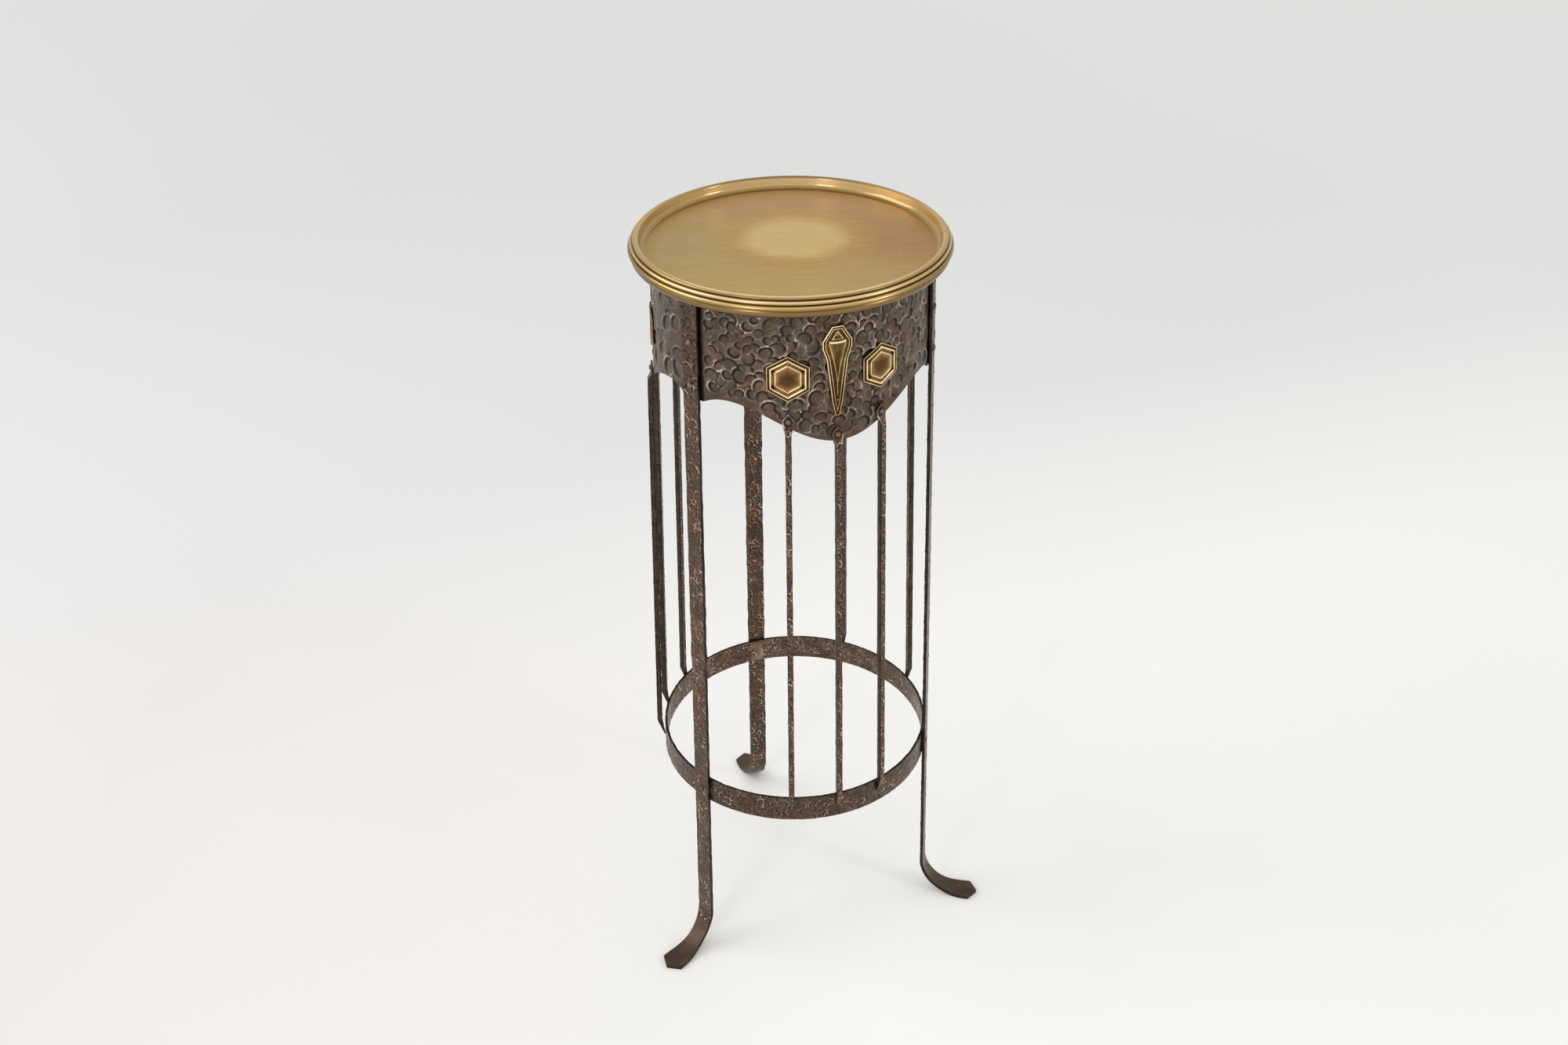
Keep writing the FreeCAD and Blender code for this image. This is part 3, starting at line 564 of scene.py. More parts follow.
def rivet_group(name, seed, places, head, rise, seat, wall, finish, slot, node_name):
    """Heads outside and smaller peened tails inside, as one piece."""
    rng = np.random.default_rng(seed)
    heads, head_faces, head_wear_and_shading = domes(rng, places, head, rise, seat, 1)
    tails, tail_faces, tail_wear = domes(rng, places, PEENED_SHARE * head, PEENED_SHARE * rise, wall, -1)
    faces = head_faces + [[i + len(heads) for i in face] for face in tail_faces]
    add_piece(name, np.vstack([heads, tails]), faces, np.concatenate([head_wear_and_shading, tail_wear]),
              finish, slot, "stand", node_name)


rivet_iron = iron_finish(
    "rivet_iron",
    bare=[(0.06, (40, 30, 24)), (0.4, (80, 62, 51)), (0.65, (108, 86, 72)), (0.95, (168, 146, 128))],
    rust=[(0.06, (44, 29, 21)), (0.4, (86, 60, 47)), (0.65, (118, 88, 70)), (0.95, (176, 148, 126))],
    rust_share=0.9, gloss=(0.34, 0.5), rubs=(0.8, 1.2),
)
tab_foot = APRON_TOP - TAB_DROP
leg_places = [(angle, tab_foot + up) for angle in LEG_ANGLES.values() for up in LEG_RIVET_UPS]
hoop_places = [(angle, HOOP_MIDDLE) for angle in LEG_ANGLES.values()]
rivet_group("leg_rivet_heads", 61, leg_places, LEG_RIVET_HEAD, LEG_RIVET_RISE,
            SEAT + LEG_THICK, APRON_SHEET, rivet_iron, "rivet_iron", "leg_rivets")
rivet_group("hoop_rivet_heads", 62, hoop_places, HOOP_RIVET_HEAD, HOOP_RIVET_RISE,
            SEAT + LEG_THICK, HOOP_WALL, bar_iron, "rivet_iron", "hoop_rivets")
rivet_group("rod_rivet_heads", 63, rod_rivet_places, ROD_RIVET_HEAD, ROD_RIVET_RISE,
            SEAT + HEAD_THICK, APRON_SHEET, rivet_iron, "rivet_iron", "rod_rivets")

# Hexagon plaques: sheet brass pressed over a die, with a double raised border, a channel with a
# boss at its corners and a bead round a flat field. Two small pins hold each to the apron.
HEXAGON_RADIUS, HEXAGON_HEIGHT, HEXAGON_ANGLE = 24.0, 751.5, 19.2
HEXAGON_STEPS, HEXAGON_RINGS, HEXAGON_MIDDLE = 48, 70, 0.4
BOSS_REACH, BOSS_BREADTH, BOSS_RISE = 16.6, 1.3, 0.8
BOSS_SHADE, BOSS_SHADE_BREADTH = 0.6, 1.9
# The plaques' edge wall is dark with painted shade.
RELIEF_LIMIT, HEXAGON_PIN_REACH, PLAQUE_EDGE_PAINTED_SHADE = 1.7, 16.9, 0.02
# Share of the plaques' brightness on each panel: a painted light, dimmer on the side panels.
PANEL_PAINTED_LIGHT = {"front": 1.0, "right": 0.9, "left": 0.75}
# The pressed section from the middle to the border: distance out, height and wear, where the wear, bright
# on the ridges from rubbing, also paints highlights on them and shade on the outer flank.
HEXAGON_SECTION = [
    (0, 1.0, 0.24), (5, 0.99, 0.26), (9, 0.95, 0.36), (12.4, 0.85, 0.54), (13.2, 1.25, 0.64),
    (14.0, 1.5, 1.0), (14.8, 1.15, 0.5), (15.6, 0.72, 0.36), (17.3, 0.75, 0.4), (18.3, 1.3, 0.56),
    (19.0, 1.7, 1.3), (19.8, 1.6, 0.8), (20.6, 0.95, 0.16), (21.6, 0.72, 0.08), (22.4, 0.95, 0.36),
    (23.2, 1.25, 0.9), (HEXAGON_RADIUS, 0.8, 0.2),
]


def plaque_points(angle, x, z, out):
    """Points over the apron at an angle, by the distance across, the height and the standing out."""
    turn = math.radians(angle)
    radius = np.sqrt((cone_radius(z) + SEAT + out) ** 2 - x ** 2)
    return np.stack([
        radius * math.sin(turn) + x * math.cos(turn),
        -radius * math.cos(turn) + x * math.sin(turn),
        z + 0 * radius,
    ], axis=-1)


def pressed_faces(rows, ring):
    """Faces over rows of closed rings, with a flat face over the first ring and the last."""
    faces = [quad[::-1] for quad in grid_faces(rows, ring, False, True)]
    last = range((rows - 1) * ring, rows * ring)
    return faces + [list(range(ring))[::-1], list(last)]


def brass_finish(name, clean, coppery, gloss):
    """Old brass: dark in the hollows and bright where rubbing reaches, with the painted highlights and
    shade that its mesh carries, and coppery tarnish in patches.
    """
    finish, shader, place = new_finish(name)
    link = finish.node_tree.links.new
    wear_and_shading = worn_and_shaded(finish)
    cloud = noise(finish, place, size=9, detail=4)
    speck = noise(finish, place, size=1.1, detail=3)
    tone = added(finish, added(finish, wear_and_shading, cloud, 0.35), speck, 0.2)
    tone = spread(finish, tone, 0.275, 1.275)
    patches = spread(finish, noise(finish, place, size=17, detail=4), 0.46, 0.62, 0.0, 0.8)
    colour = mixed(finish, patches, ramp(finish, tone, clean), ramp(finish, tone, coppery))
    link(colour, shader.inputs["Base Color"])
    shader.inputs["Metallic"].default_value = 1.0
    link(spread(finish, tone, 0.1, 0.9, *gloss), shader.inputs["Roughness"])
    uneven(finish, shader, cloud, strength=0.25, depth=0.8)
    return finish


plaque_brass = brass_finish(
    "plaque_brass",
    clean=[(0.05, (40, 28, 14)), (0.28, (90, 70, 44)), (0.48, (132, 106, 64)),
           (0.7, (184, 154, 98)), (0.9, (255, 240, 198))],
    coppery=[(0.05, (46, 27, 15)), (0.28, (98, 66, 40)), (0.48, (142, 100, 60)),
             (0.7, (188, 146, 92)), (0.9, (252, 226, 182))],
    gloss=(0.46, 0.24),
)
side_place = np.linspace(0, 6, HEXAGON_STEPS, endpoint=False)
corner_turn = np.radians(60 * np.floor(side_place))
next_turn = corner_turn + math.radians(60)
along_side = side_place % 1
hexagon_x = (1 - along_side) * np.sin(corner_turn) + along_side * np.sin(next_turn)
hexagon_z = (1 - along_side) * np.cos(corner_turn) + along_side * np.cos(next_turn)
ring_reach = np.linspace(HEXAGON_RADIUS, HEXAGON_MIDDLE, HEXAGON_RINGS)[:, None]
section_at, section_out, section_wear_and_shading = zip(*HEXAGON_SECTION)
hexagon_out = np.interp(ring_reach, section_at, section_out) + 0 * side_place
hexagon_wear_and_shading = np.interp(ring_reach, section_at, section_wear_and_shading) + 0 * side_place
hexagon_x = ring_reach * hexagon_x
hexagon_z = ring_reach * hexagon_z
for turn in np.radians([60, 120, 240, 300]):
    from_boss = np.hypot(hexagon_x - BOSS_REACH * np.sin(turn), hexagon_z - BOSS_REACH * np.cos(turn))
    hexagon_out = hexagon_out + BOSS_RISE * bell(from_boss, BOSS_BREADTH)
    hexagon_wear_and_shading = hexagon_wear_and_shading - BOSS_SHADE * bell(from_boss, BOSS_SHADE_BREADTH)
hexagon_out = np.minimum(hexagon_out, RELIEF_LIMIT)
hexagon_wear_and_shading = np.vstack([np.full((1, HEXAGON_STEPS), PLAQUE_EDGE_PAINTED_SHADE), hexagon_wear_and_shading])
hexagon_faces = pressed_faces(*hexagon_wear_and_shading.shape)
hexagon_pin_places = []
for panel_name, panel_angle in PANEL_ANGLES.items():
    for side, turn in (("left", -HEXAGON_ANGLE), ("right", HEXAGON_ANGLE)):
        angle = panel_angle + turn
        height = HEXAGON_HEIGHT + hexagon_z
        points = np.concatenate([plaque_points(angle, hexagon_x[:1], height[:1], 0.0),
                                 plaque_points(angle, hexagon_x, height, hexagon_out)])
        add_piece(f"hexagon_{panel_name}_{side}", points, hexagon_faces, PANEL_PAINTED_LIGHT[panel_name] * hexagon_wear_and_shading,
                  plaque_brass, "plaque_brass", "stand", f"hexagon_plaque_{panel_name}_{side}")
        hexagon_pin_places += [(angle, HEXAGON_HEIGHT + HEXAGON_PIN_REACH),
                               (angle, HEXAGON_HEIGHT - HEXAGON_PIN_REACH)]

# Drop plaques: long drops of the same pressed brass, with a double border, a small triangle at
# the upper pin, a rounded lip and a hollow tongue below it that narrows to a point. Two pins hold
# each to the apron, in the middle of its panel.
DROP_HEAD, DROP_FOOT = 803.0, 709.62
DROP_TAIL, DROP_WAIST, DROP_SHOULDER, DROP_SIDE_TOP = 15.0, 769.0, 781.0, 787.5
DROP_HALVES = [2.4, 5.6, 11.0, 15.0, 15.0, 5.4]
DROP_ROWS, DROP_COLUMNS = 170, 65
TONGUE_FOOT, TONGUE_TOP, TONGUE_END, TONGUE_HALF = 745.0, 785.0, 785.5, 8.2
RIDGE_BREADTH, BORDER_INSIDE, SIDE_SLOPE = 0.8, 2.2, 0.93
LIP_HEIGHT, LIP_SAG, LIP_THICK, LIP_HALF, LIP_ROUND = 786.0, 0.014, 1.35, 9.2, 1.5
RIB_FOOT, RIB_TOP, RIB_FADE, RIB_HALF = 728.0, 754.0, 5.0, 0.6
TRIANGLE_FOOT, TRIANGLE_TOP, TRIANGLE_SLOPE, TRIANGLE_LINE, TRIANGLE_INSIDE = 789.6, 797.2, 0.72, 0.55, 2.6
DROP_PIN_FROM_HEAD, DROP_PIN_FROM_FOOT = 9.5, 17.0
# The tail is duller: height and share of the brightness.
DROP_DULLNESS = [(DROP_FOOT, 0.72), (735.0, 0.8), (765.0, 1.0)]
# The border's section from the edge inwards: distance in, height and wear, where the wear, bright on the
# ridges from rubbing, also paints highlights on them and shade at the edge.
BORDER_SECTION = [
    (0, 0.7, 0.2), (0.4, 1.0, 0.7), (0.9, 1.65, 1.2), (1.4, 1.25, 0.4), (1.9, 0.75, -0.06),
    (2.6, 0.85, 0.0), (3.2, 1.35, 1.05), (3.8, 0.95, 0.3), (4.6, 0.85, 0.16),
]

drop_z = np.linspace(DROP_FOOT, DROP_HEAD, DROP_ROWS)[:, None]
drop_heights = [DROP_FOOT, DROP_FOOT + DROP_TAIL, DROP_WAIST, DROP_SHOULDER, DROP_SIDE_TOP, DROP_HEAD]
drop_half = np.interp(drop_z, drop_heights, DROP_HALVES)
drop_x = drop_half * np.linspace(-1, 1, DROP_COLUMNS)
off_middle = np.abs(drop_x)
from_ends = np.minimum(drop_z - DROP_FOOT, DROP_HEAD - drop_z)
from_border = np.minimum(SIDE_SLOPE * (drop_half - off_middle), from_ends)
section_at, section_out, section_wear_and_shading = zip(*BORDER_SECTION)
drop_out = np.interp(from_border, section_at, section_out)
drop_wear_and_shading = np.interp(from_border, section_at, section_wear_and_shading)
tongue = between(drop_z, TONGUE_FOOT, TONGUE_TOP)
tongue_half = np.maximum(TONGUE_HALF * tongue ** 1.45, 0.05)
tongue_rows = (drop_z > TONGUE_FOOT) & (drop_z < TONGUE_END) & (from_border > BORDER_INSIDE)
hollow = off_middle / tongue_half
ridge = bell(off_middle - tongue_half, RIDGE_BREADTH)
tongue_out = np.where(hollow < 1, 0.55 + 1.05 * hollow ** 2, np.maximum(drop_out, 0.9 + 0.7 * ridge))
# The tongue's hollow is painted shade: darker in its middle and lighter towards its edges and top.
hollow_painted_shading = 0.14 + 0.5 * hollow ** 3 + 0.25 * tongue * (1 - hollow)
tongue_wear_and_shading = np.where(hollow < 1, hollow_painted_shading, np.maximum(drop_wear_and_shading, 0.22 + 0.62 * ridge))
lip = bell(drop_z - LIP_HEIGHT - LIP_SAG * drop_x ** 2, LIP_THICK)
lip *= between(off_middle, LIP_HALF, LIP_HALF - LIP_ROUND)
rib = bell(drop_x, RIB_HALF) * between(drop_z, RIB_TOP, RIB_TOP - RIB_FADE)
rib *= between(drop_z, RIB_FOOT, RIB_FOOT + RIB_FADE)
triangle = np.minimum((TRIANGLE_TOP - drop_z) / 2 - off_middle * TRIANGLE_SLOPE, drop_z - TRIANGLE_FOOT)
triangle_line = bell(triangle, TRIANGLE_LINE) * (from_border > TRIANGLE_INSIDE)
drop_out = np.where(tongue_rows, tongue_out, drop_out)
for raised in (0.7 + 1.0 * lip, 0.85 + 0.65 * triangle_line, 0.8 + 0.55 * rib):
    drop_out = np.maximum(drop_out, raised)
drop_wear_and_shading = np.where(tongue_rows, tongue_wear_and_shading, drop_wear_and_shading)
drop_wear_and_shading = drop_wear_and_shading * np.interp(drop_z, *zip(*DROP_DULLNESS))
# The lip, the triangle's line and the rib are bright from rubbing; on the lip and the line this is also a
# painted highlight.
for rubbed_and_shaded in (1.2 * lip, 0.9 * triangle_line, 0.7 * rib):
    drop_wear_and_shading = np.maximum(drop_wear_and_shading, rubbed_and_shaded)
drop_wear_and_shading = np.hstack([drop_wear_and_shading, np.full((DROP_ROWS, 2), PLAQUE_EDGE_PAINTED_SHADE)])
back_x = drop_half * np.array([1.0, -1.0])
drop_faces = pressed_faces(*drop_wear_and_shading.shape)
drop_pin_places = []
for panel_name, panel_angle in PANEL_ANGLES.items():
    points = np.concatenate([plaque_points(panel_angle, drop_x, drop_z, drop_out),
                             plaque_points(panel_angle, back_x, drop_z, 0.0)], axis=1)
    add_piece(f"drop_{panel_name}", points, drop_faces, PANEL_PAINTED_LIGHT[panel_name] * drop_wear_and_shading,
              plaque_brass, "plaque_brass", "stand", f"drop_plaque_{panel_name}")
    drop_pin_places += [(panel_angle, DROP_HEAD - DROP_PIN_FROM_HEAD),
                        (panel_angle, DROP_FOOT + DROP_PIN_FROM_FOOT)]

# Pins: small brass nails with round heads, driven through the plaques and the apron and turned
# over inside. Two hold each plaque.
PIN_HEAD, PIN_RISE, PLAQUE_SHEET = 1.3, 0.8, 0.8
pin_brass = brass_finish(
    "pin_brass",
    clean=[(0.05, (60, 42, 20)), (0.5, (120, 94, 56)), (0.95, (190, 162, 112))],
    coppery=[(0.05, (60, 36, 18)), (0.5, (124, 84, 50)), (0.95, (184, 140, 96))],
    gloss=(0.45, 0.28),
)
rivet_group("hexagon_pin_heads", 64, hexagon_pin_places, PIN_HEAD, PIN_RISE,
            SEAT + PLAQUE_SHEET, APRON_SHEET, pin_brass, "plaque_brass", "hexagon_pins")
rivet_group("drop_pin_heads", 65, drop_pin_places, PIN_HEAD, PIN_RISE,
            SEAT + PLAQUE_SHEET, APRON_SHEET, pin_brass, "plaque_brass", "drop_pins")

# Tray: spun from one sheet of brass, with a flat sunk well, a cove up to a broad lip, two reeds
# that step outwards and a tucked-in skirt. It lies loose on the apron. Pots have left a pale
# round patch in its middle, with a darker ring, and the rest is unevenly tarnished.
WELL, WELL_RADIUS, WELL_EDGE, RIM_RADIUS, TRAY_WALL = 828.5, 143.0, 141.5, 159.97, 1.5
LIP_TOP, LIP_BEAD, LIP_FLAT = 840.7, 1.8, 2.6
UPPER_REED, LOWER_REED, REED_GAP, UPPER_STEP, LOWER_STEP = 2.1, 2.5, 0.3, 53.0, 69.0
SKIRT_MEET, SKIRT_BULGE, HEM = 100.0, 1.4, np.array([155.8, 821.5])
COVE_RADIUS, COVE_SWEEP = 6.0, 80.0
LIP_START, LIP_END = 150.0, -40.0
TRAY_STEPS, COVE_STEPS, RISE_STEPS, LIP_STEPS = 288, 14, 5, 32
UPPER_STEPS, LOWER_STEPS, SKIRT_STEPS, UNDER_STEPS = 24, 26, 13, 10
MIDDLE = 0.4
VIEW_TURN = -17.75


def arc_points(centre, radius, start, end, count):
    """Points round a centre from one angle to another, in degrees."""
    swing = np.radians(np.linspace(start, end, count))
    return np.stack([centre[0] + radius * np.cos(swing), centre[1] + radius * np.sin(swing)], axis=-1)


def worn_and_shaded_arc(centre, radius, start, end, count, wear_and_shading_at):
    """Points round a centre, and the brass's rubbing there with its painted highlights and shade, given at
    falling angles.
    """
    angles, wear_and_shading = zip(*wear_and_shading_at)
    rubbed_and_shaded = np.interp(-np.linspace(start, end, count), -np.array(angles, float), wear_and_shading)
    return arc_points(centre, radius, start, end, count), rubbed_and_shaded


def reed_step(angle, first, second):
    """From the centre of one reed to the next one, out and below at an angle."""
    turn = math.radians(angle)
    return (first + second + REED_GAP) * np.array([math.cos(turn), -math.sin(turn)])


to_upper = reed_step(UPPER_STEP, LIP_BEAD, UPPER_REED)
to_lower = reed_step(LOWER_STEP, UPPER_REED, LOWER_REED)
lip_centre = np.array([RIM_RADIUS - LOWER_REED - to_lower[0] - to_upper[0], LIP_TOP - LIP_BEAD])
upper_centre = lip_centre + to_upper
lower_centre = upper_centre + to_lower
cove_centre = np.array([WELL_RADIUS, WELL + COVE_RADIUS])
cove_end_angle = COVE_SWEEP - 90
cove_end = arc_points(cove_centre, COVE_RADIUS, cove_end_angle, cove_end_angle, 1)[0]
under_end = arc_points(cove_centre, COVE_RADIUS + TRAY_WALL, cove_end_angle, cove_end_angle, 1)[0]
well_radii = np.array([MIDDLE, 15, 30, 45, 60, 75, 90, 105, 118, 130, 138, WELL_EDGE])
under_radii = np.array([140, 110, 80, 50, 20, MIDDLE])
lip_unit, lip_wear_and_shading = worn_and_shaded_arc((0, 0), 1.0, LIP_START, LIP_END, LIP_STEPS, [
    (LIP_START, 0.62), (125, 0.85), (110, 1.0), (90, 0.96), (70, 0.86), (45, 0.7), (25, 0.52),
    (0, 0.38), (LIP_END, 0.26)])
lip_points = lip_unit * [LIP_BEAD + LIP_FLAT / 2, LIP_BEAD] + lip_centre - [LIP_FLAT / 2, 0]
cove_rise = cove_end + (lip_points[0] - cove_end) * np.linspace(0.15, 0.85, RISE_STEPS)[:, None]
skirt_start = arc_points(lower_centre, LOWER_REED, -SKIRT_MEET, -SKIRT_MEET, 1)[0]
skirt_fall = np.linspace(0, 1, SKIRT_STEPS + 1)[1:, None]
skirt_side = np.array([skirt_start[1] - HEM[1], HEM[0] - skirt_start[0]])
skirt_side = skirt_side / np.hypot(*skirt_side) * SKIRT_BULGE
skirt = skirt_start + (HEM - skirt_start) * skirt_fall + skirt_side * 4 * skirt_fall * (1 - skirt_fall)
inside_heights = np.array([HEM[1], APRON_TOP, under_end[1]])
# The values given to each section also paint highlights on the upper sides of the lip, the cove's wall and
# the reeds, and shade below them.
tray_sections = {
    "well": (np.stack([well_radii, np.full_like(well_radii, WELL)], axis=-1), 0.5),
    "cove": worn_and_shaded_arc(cove_centre, COVE_RADIUS, -90, cove_end_angle, COVE_STEPS, [
        (-10, 0.92), (-35, 0.62), (-65, 0.36), (-84, 0.2), (-90, 0.32)]),
    "rise": (cove_rise, np.linspace(0.96, 0.98, RISE_STEPS)),
    "lip": (lip_points, lip_wear_and_shading),
    "upper reed": worn_and_shaded_arc(upper_centre, UPPER_REED, 180 - UPPER_STEP, -LOWER_STEP, UPPER_STEPS, [
        (127, 0.26), (100, 0.45), (70, 0.85), (40, 1.0), (12, 0.75), (-20, 0.5), (-50, 0.36), (-69, 0.26)]),
    "lower reed": worn_and_shaded_arc(lower_centre, LOWER_REED, 180 - LOWER_STEP, -SKIRT_MEET, LOWER_STEPS, [
        (111, 0.26), (85, 0.42), (60, 0.75), (36, 0.88), (8, 0.58), (-30, 0.4), (-70, 0.3), (-100, 0.22)]),
    "skirt": (skirt, np.interp(skirt_fall[:, 0], [0, 0.2, 0.45, 0.75, 1], [0.14, 0.46, 0.4, 0.34, 0.2])),
    "inside": (np.stack([np.full(3, HEM[0] - TRAY_WALL), inside_heights], axis=-1), 0.3),
    "under cove": (arc_points(cove_centre, COVE_RADIUS + TRAY_WALL, cove_end_angle, -90, UNDER_STEPS), 0.3),
    "underside": (np.stack([under_radii, np.full_like(under_radii, WELL - TRAY_WALL)], axis=-1), 0.35),
}
tray_profile = np.concatenate([points for points, _ in tray_sections.values()])
tray_wear_and_shading = np.concatenate([wear_and_shading + 0 * points[:, 0] for points, wear_and_shading in tray_sections.values()])
tray_wear_and_shading = np.tile(tray_wear_and_shading, (TRAY_STEPS, 1))
ends = np.cumsum([0] + [len(points) for points, _ in tray_sections.values()])
spans = {name: slice(start, end) for name, start, end in zip(tray_sections, ends, ends[1:])}
cove_span = slice(spans["cove"].start, spans["rise"].stop)
lip_span = spans["lip"]
upper_span = spans["upper reed"]
lower_span = slice(spans["lower reed"].start, spans["skirt"].stop)

# Painted light and shade on the rim, keyed to the view: brightest in front, duller at the sides and darkest
# at the back.
tray_turn = np.radians(np.linspace(0, 360, TRAY_STEPS, endpoint=False))[:, None]
from_viewer = tray_turn - math.radians(VIEW_TURN)
to_back = np.clip(-0.4 - 1.2 * np.cos(from_viewer), 0, 1)
to_side = between(np.abs(np.sin(from_viewer)), 0.55, 0.85)
lip_crown = np.interp(-np.linspace(LIP_START, LIP_END, LIP_STEPS), [-150, -120, -62, -30], [0.5, 1, 1, 0])
cove_wear_and_shading = np.linspace(0.5, 0.7, COVE_STEPS + RISE_STEPS)
tray_wear_and_shading[:, lip_span] += 0.75 * to_side * (1 - to_back) * lip_crown * (0.62 - tray_wear_and_shading[:, lip_span])
tray_wear_and_shading[:, lip_span] += to_back * lip_crown * (0.24 - tray_wear_and_shading[:, lip_span])
tray_wear_and_shading[:, cove_span] += (1 - to_back) * (cove_wear_and_shading - tray_wear_and_shading[:, cove_span])
tray_wear_and_shading[:, upper_span] -= 0.3 * to_side * (tray_wear_and_shading[:, upper_span] - 0.3)
tray_wear_and_shading[:, lower_span] -= 0.65 * to_side * (tray_wear_and_shading[:, lower_span] - 0.3)
tray_points = np.stack([
    tray_profile[:, 0] * np.sin(tray_turn),
    -tray_profile[:, 0] * np.cos(tray_turn),
    tray_profile[:, 1] + 0 * tray_turn,
], axis=-1)
section = len(tray_profile)
tray_faces = [quad[::-1] for quad in grid_faces(TRAY_STEPS, section, True, False)]
tray_faces += [list(range(0, TRAY_STEPS * section, section)),
               list(range(section - 1, TRAY_STEPS * section, section))[::-1]]


def measured(finish, operation, place, other=(0.0, 0.0, 0.0)):
    """A length, a distance to a point or a reach along a direction, in metres."""
    return node(finish, "VectorMath", {0: place, 1: other}, operation=operation).outputs["Value"]


# The finish changes at these distances from the tray's middle and the patch's, in metres.
ON_RIM, ON_WALL, ON_REEDS = (0.1415, 0.1445), (0.1465, 0.1485), (0.1495, 0.1525)
PATCH_MIDDLE, PATCH_EDGE, PATCH_RING_EDGE = (0.008, 0.011, 0.0), (0.055, 0.074), (0.07, 0.105)
TO_PINK_SIDE = (0.945, 0.327, 0.0)
view_bearing = math.radians(VIEW_TURN)
TO_VIEWER = (math.sin(view_bearing), -math.cos(view_bearing), 0.0)
TO_VIEW_RIGHT = (math.cos(view_bearing), math.sin(view_bearing), 0.0)
GOLD, ROSE, FRONT_GOLD, BACK_TAN = (184, 159, 102), (180, 140, 88), (198, 168, 104), (194, 157, 109)
PATCH_RING, PALE_PATCH, SMUDGE, BRUSHED = (196, 157, 92), (216, 188, 126), (202, 172, 118), (122, 98, 60)

tray_brass, shader, place = new_finish("tray_brass")
link = tray_brass.node_tree.links.new
flat = node(tray_brass, "Mapping", {"Vector": place, "Scale": (1, 1, 0)}).outputs["Vector"]
from_middle = measured(tray_brass, "LENGTH", flat)
on_rim = spread(tray_brass, from_middle, *ON_RIM)
on_wall = spread(tray_brass, from_middle, *ON_WALL)
on_reeds = spread(tray_brass, from_middle, *ON_REEDS)
drift = noise(tray_brass, place, size=42, detail=5, roughness=0.6)
from_patch = added(tray_brass, measured(tray_brass, "DISTANCE", flat, PATCH_MIDDLE), drift, 0.03)
patch = spread(tray_brass, from_patch, *PATCH_EDGE, 1.0, 0.0)
patch_ring = spread(tray_brass, from_patch, *PATCH_RING_EDGE, 1.0, 0.0)
pinkward = added(tray_brass, measured(tray_brass, "DOT_PRODUCT", flat, TO_PINK_SIDE), drift, 0.12)
forward = measured(tray_brass, "DOT_PRODUCT", flat, TO_VIEWER)
blots = noise(tray_brass, place, size=16, detail=5, roughness=0.65)
# The field's colour changes round the view: rosier and darker towards the right and back, and lighter in
# front, where the lightness is painted light and shade.
field = mixed(tray_brass, spread(tray_brass, pinkward, 0.03, 0.13), linear(*GOLD), linear(*ROSE))
field = mixed(tray_brass, spread(tray_brass, forward, 0.02, 0.12), field, linear(*FRONT_GOLD))
field = mixed(tray_brass, spread(tray_brass, forward, -0.03, -0.12), field, linear(*BACK_TAN))
field = mixed(tray_brass, patch_ring, field, linear(*PATCH_RING))
field = mixed(tray_brass, patch, field, linear(*PALE_PATCH))
field = mixed(tray_brass, spread(tray_brass, blots, 0.58, 0.76, 0.0, 0.4), field, linear(*SMUDGE))
rim_colour = ramp(tray_brass, worn_and_shaded(tray_brass), [
    (0.1, (66, 49, 26)), (0.4, (134, 108, 66)), (0.66, (190, 157, 94)),
    (0.86, (222, 194, 140)), (1.0, (252, 236, 200))])
brush_turn = {"Vector": place, "Rotation": (0, 0, view_bearing), "Scale": (1 / 24, 1 / 420, 1)}
brush_place = node(tray_brass, "Mapping", brush_turn, vector_type="TEXTURE").outputs["Vector"]
streaks = noise(tray_brass, brush_place, size=1000, detail=4, roughness=0.6)
brushed = node(tray_brass, "Mix", {0: on_rim, 2: streaks, 3: 0.5}).outputs[0]
dim = spread(tray_brass, brushed, 0.3, 0.7, 0.0, 0.05)
colour = mixed(tray_brass, on_rim, field, rim_colour)
link(mixed(tray_brass, dim, colour, linear(*BRUSHED)), shader.inputs["Base Color"])
cove_metal = spread(tray_brass, on_wall, 0.0, 1.0, 0.85, 0.4)
link(added(tray_brass, cove_metal, on_reeds, 0.5), shader.inputs["Metallic"])
polish = added(tray_brass, added(tray_brass, brushed, on_rim, -0.5), on_reeds, 0.18)
link(spread(tray_brass, polish, 0.0, 0.8, 0.15, 0.65), shader.inputs["Roughness"])
uneven(tray_brass, shader, brushed, strength=0.05, depth=0.4)
add_piece("tray_dish", tray_points, tray_faces, tray_wear_and_shading, tray_brass, "tray_brass", "tray", "tray")

# Locating ring: a strip of brass bent into a ring and soldered under the tray, which drops inside
# the apron and keeps the tray from sliding off. It is only seen from below.
ring_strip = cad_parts["tray_locating_ring"]
ring_strip.data.materials.clear()
ring_strip.data.materials.append(pin_brass)

# Floor: a wide sheet of pale matt paper that the stand is photographed on, whitest in front and
# a little greyer towards the back and the left, which is painted shade. It isn't part of the stand.
FLOOR_SIZE = 40
NEAR_LEFT, NEAR_RIGHT, FRONT, OUTSIDE = (230, 226, 223), (248, 248, 246), (249, 248, 246), (249, 249, 248)
FAR_LEFT, FAR_RIGHT = (222, 223, 224), (235, 236, 236)

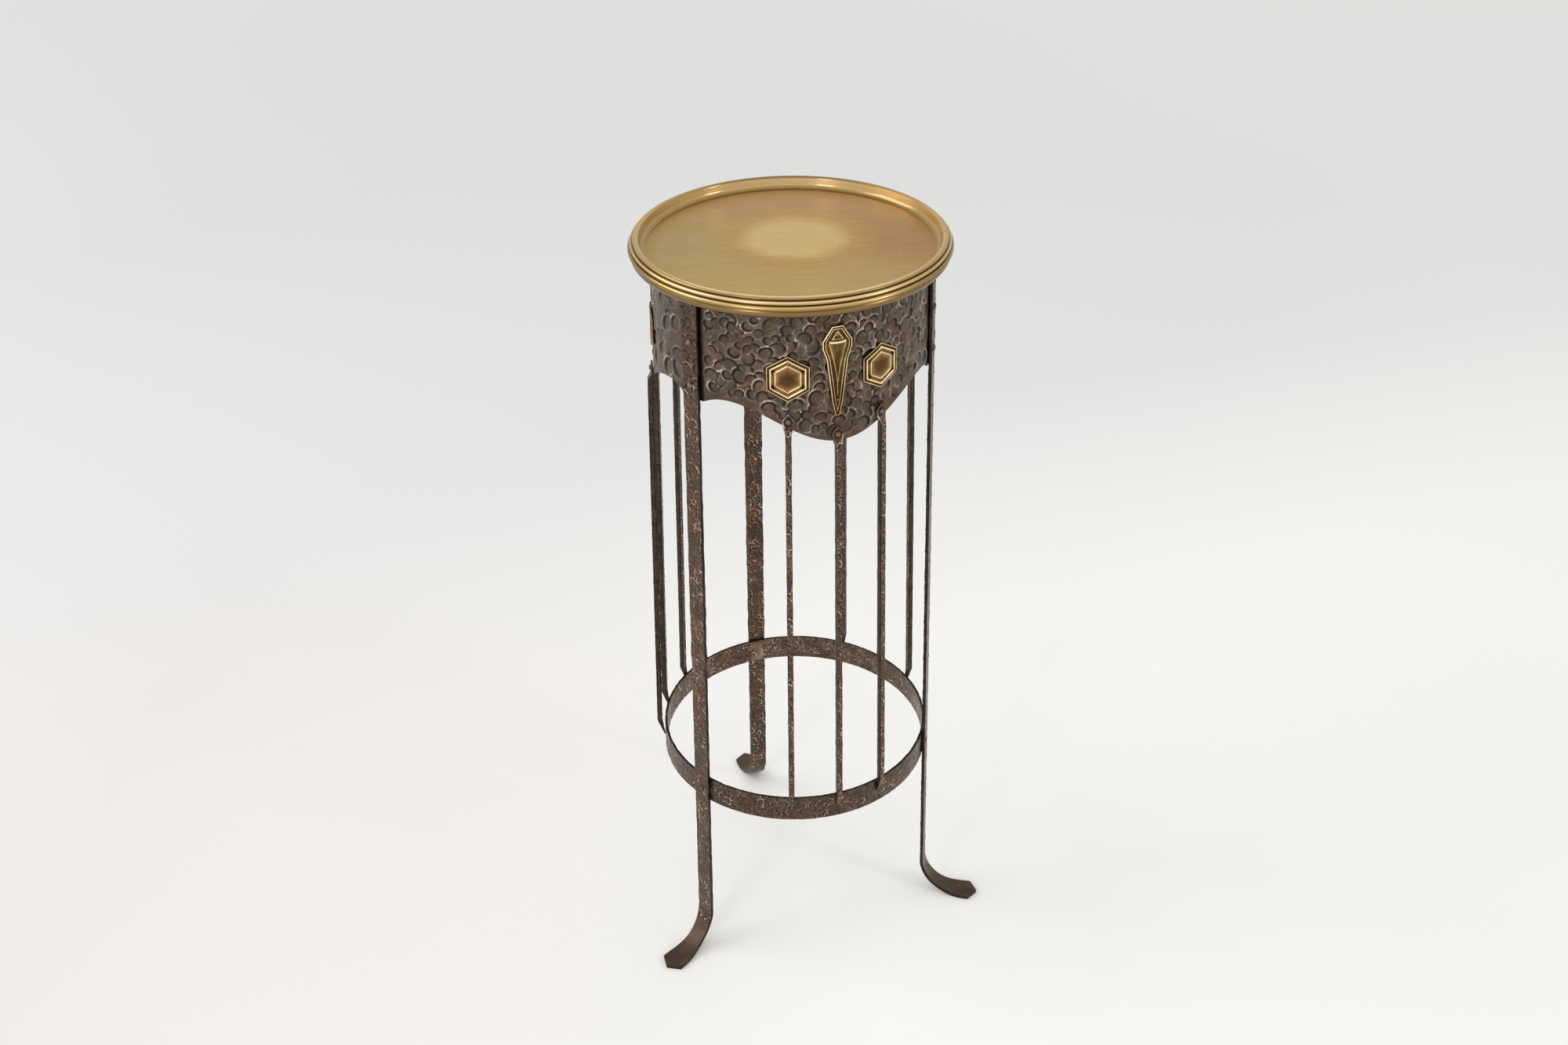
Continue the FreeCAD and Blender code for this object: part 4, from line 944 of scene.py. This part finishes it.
bpy.ops.mesh.primitive_plane_add(size=FLOOR_SIZE)
floor = bpy.context.object
floor.name = "paper_floor"
paper, shader, place = new_finish("paper")
link = paper.node_tree.links.new
depth = node(paper, "SeparateXYZ", {"Vector": place}).outputs["Y"]
rightward = measured(paper, "DOT_PRODUCT", place, TO_VIEW_RIGHT)
distance = measured(paper, "LENGTH", place)
near = mixed(paper, spread(paper, rightward, -0.9, 0.1), linear(*NEAR_LEFT), linear(*NEAR_RIGHT))
near = mixed(paper, spread(paper, depth, -0.2, -0.7), near, linear(*FRONT))
far = mixed(paper, spread(paper, rightward, -1.5, 1.5), linear(*FAR_LEFT), linear(*FAR_RIGHT))
swept = mixed(paper, spread(paper, depth, 0.45, 1.1), near, far)
link(mixed(paper, spread(paper, distance, 2.5, 6.5), swept, linear(*OUTSIDE)), shader.inputs["Base Color"])
shader.inputs["Roughness"].default_value = 0.9
shader.inputs["Specular IOR Level"].default_value = 0.0
floor.data.materials.append(paper)

# Light: an even pale room, with a large soft lamp on the left and two small ones in front, right
# and left, which the tray's cove throws back. Places are in metres, as seen by the camera.
ROOM_COLOUR, ROOM_STRENGTH = (1.0, 0.99, 0.975, 1.0), 0.8
AIM_HEIGHT = 0.6

world = bpy.data.worlds.new("room")
bpy.context.scene.world = world
world.use_nodes = True
world.node_tree.nodes["Background"].inputs["Color"].default_value = ROOM_COLOUR
world.node_tree.nodes["Background"].inputs["Strength"].default_value = ROOM_STRENGTH
turn_to_view = np.array(Matrix.Rotation(view_bearing, 3, "Z"))


def soft_lamp(name, spot, size, watts):
    """A square soft lamp that faces the stand."""
    lamp = bpy.data.lights.new(name, "AREA")
    lamp.size = size
    lamp.energy = watts
    holder = bpy.data.objects.new(name, lamp)
    bpy.context.scene.collection.objects.link(holder)
    holder.location = turn_to_view @ spot
    aim = -holder.location
    aim.z += AIM_HEIGHT
    holder.rotation_euler = aim.to_track_quat("-Z", "Y").to_euler()


soft_lamp("left_lamp", (-3.8, 0.0, 2.6), size=3.0, watts=70)
soft_lamp("right_lamp", (3.2, -1.7, 1.5), size=0.6, watts=16)
soft_lamp("front_lamp", (-1.5, -2.8, 1.6), size=0.7, watts=14)

# Camera: held at eye level about a metre and a half from the stand, a little to the left of the
# front panel's middle, and looking down on the tray.
PHOTO_WIDTH, FOCAL_PIXELS, SENSOR_WIDTH = 2000, 2162.692, 36.0
CAMERA_PLACE = (0.0, -1.555877, 1.483223)
PITCH, YAW, ROLL = 32.169, -0.3574, -0.6883

pitch, yaw, roll = np.radians([PITCH, YAW, ROLL])
ahead = np.array([math.sin(yaw) * math.cos(pitch), math.cos(yaw) * math.cos(pitch), -math.sin(pitch)])
right = np.array([math.cos(yaw), -math.sin(yaw), 0.0])
up = np.cross(right, ahead)
axes = np.stack([
    math.cos(roll) * right + math.sin(roll) * up,
    -math.sin(roll) * right + math.cos(roll) * up,
    -ahead,
], axis=-1)
pose = np.eye(4)
pose[:3, :3] = turn_to_view @ axes
pose[:3, 3] = turn_to_view @ CAMERA_PLACE
lens = bpy.data.cameras.new("camera")
lens.sensor_width = SENSOR_WIDTH
lens.lens = SENSOR_WIDTH * FOCAL_PIXELS / PHOTO_WIDTH
camera = bpy.data.objects.new("camera", lens)
bpy.context.scene.collection.objects.link(camera)
camera.matrix_world = Matrix(pose.tolist())
bpy.context.scene.camera = camera
bpy.context.scene.view_settings.view_transform = "Standard"
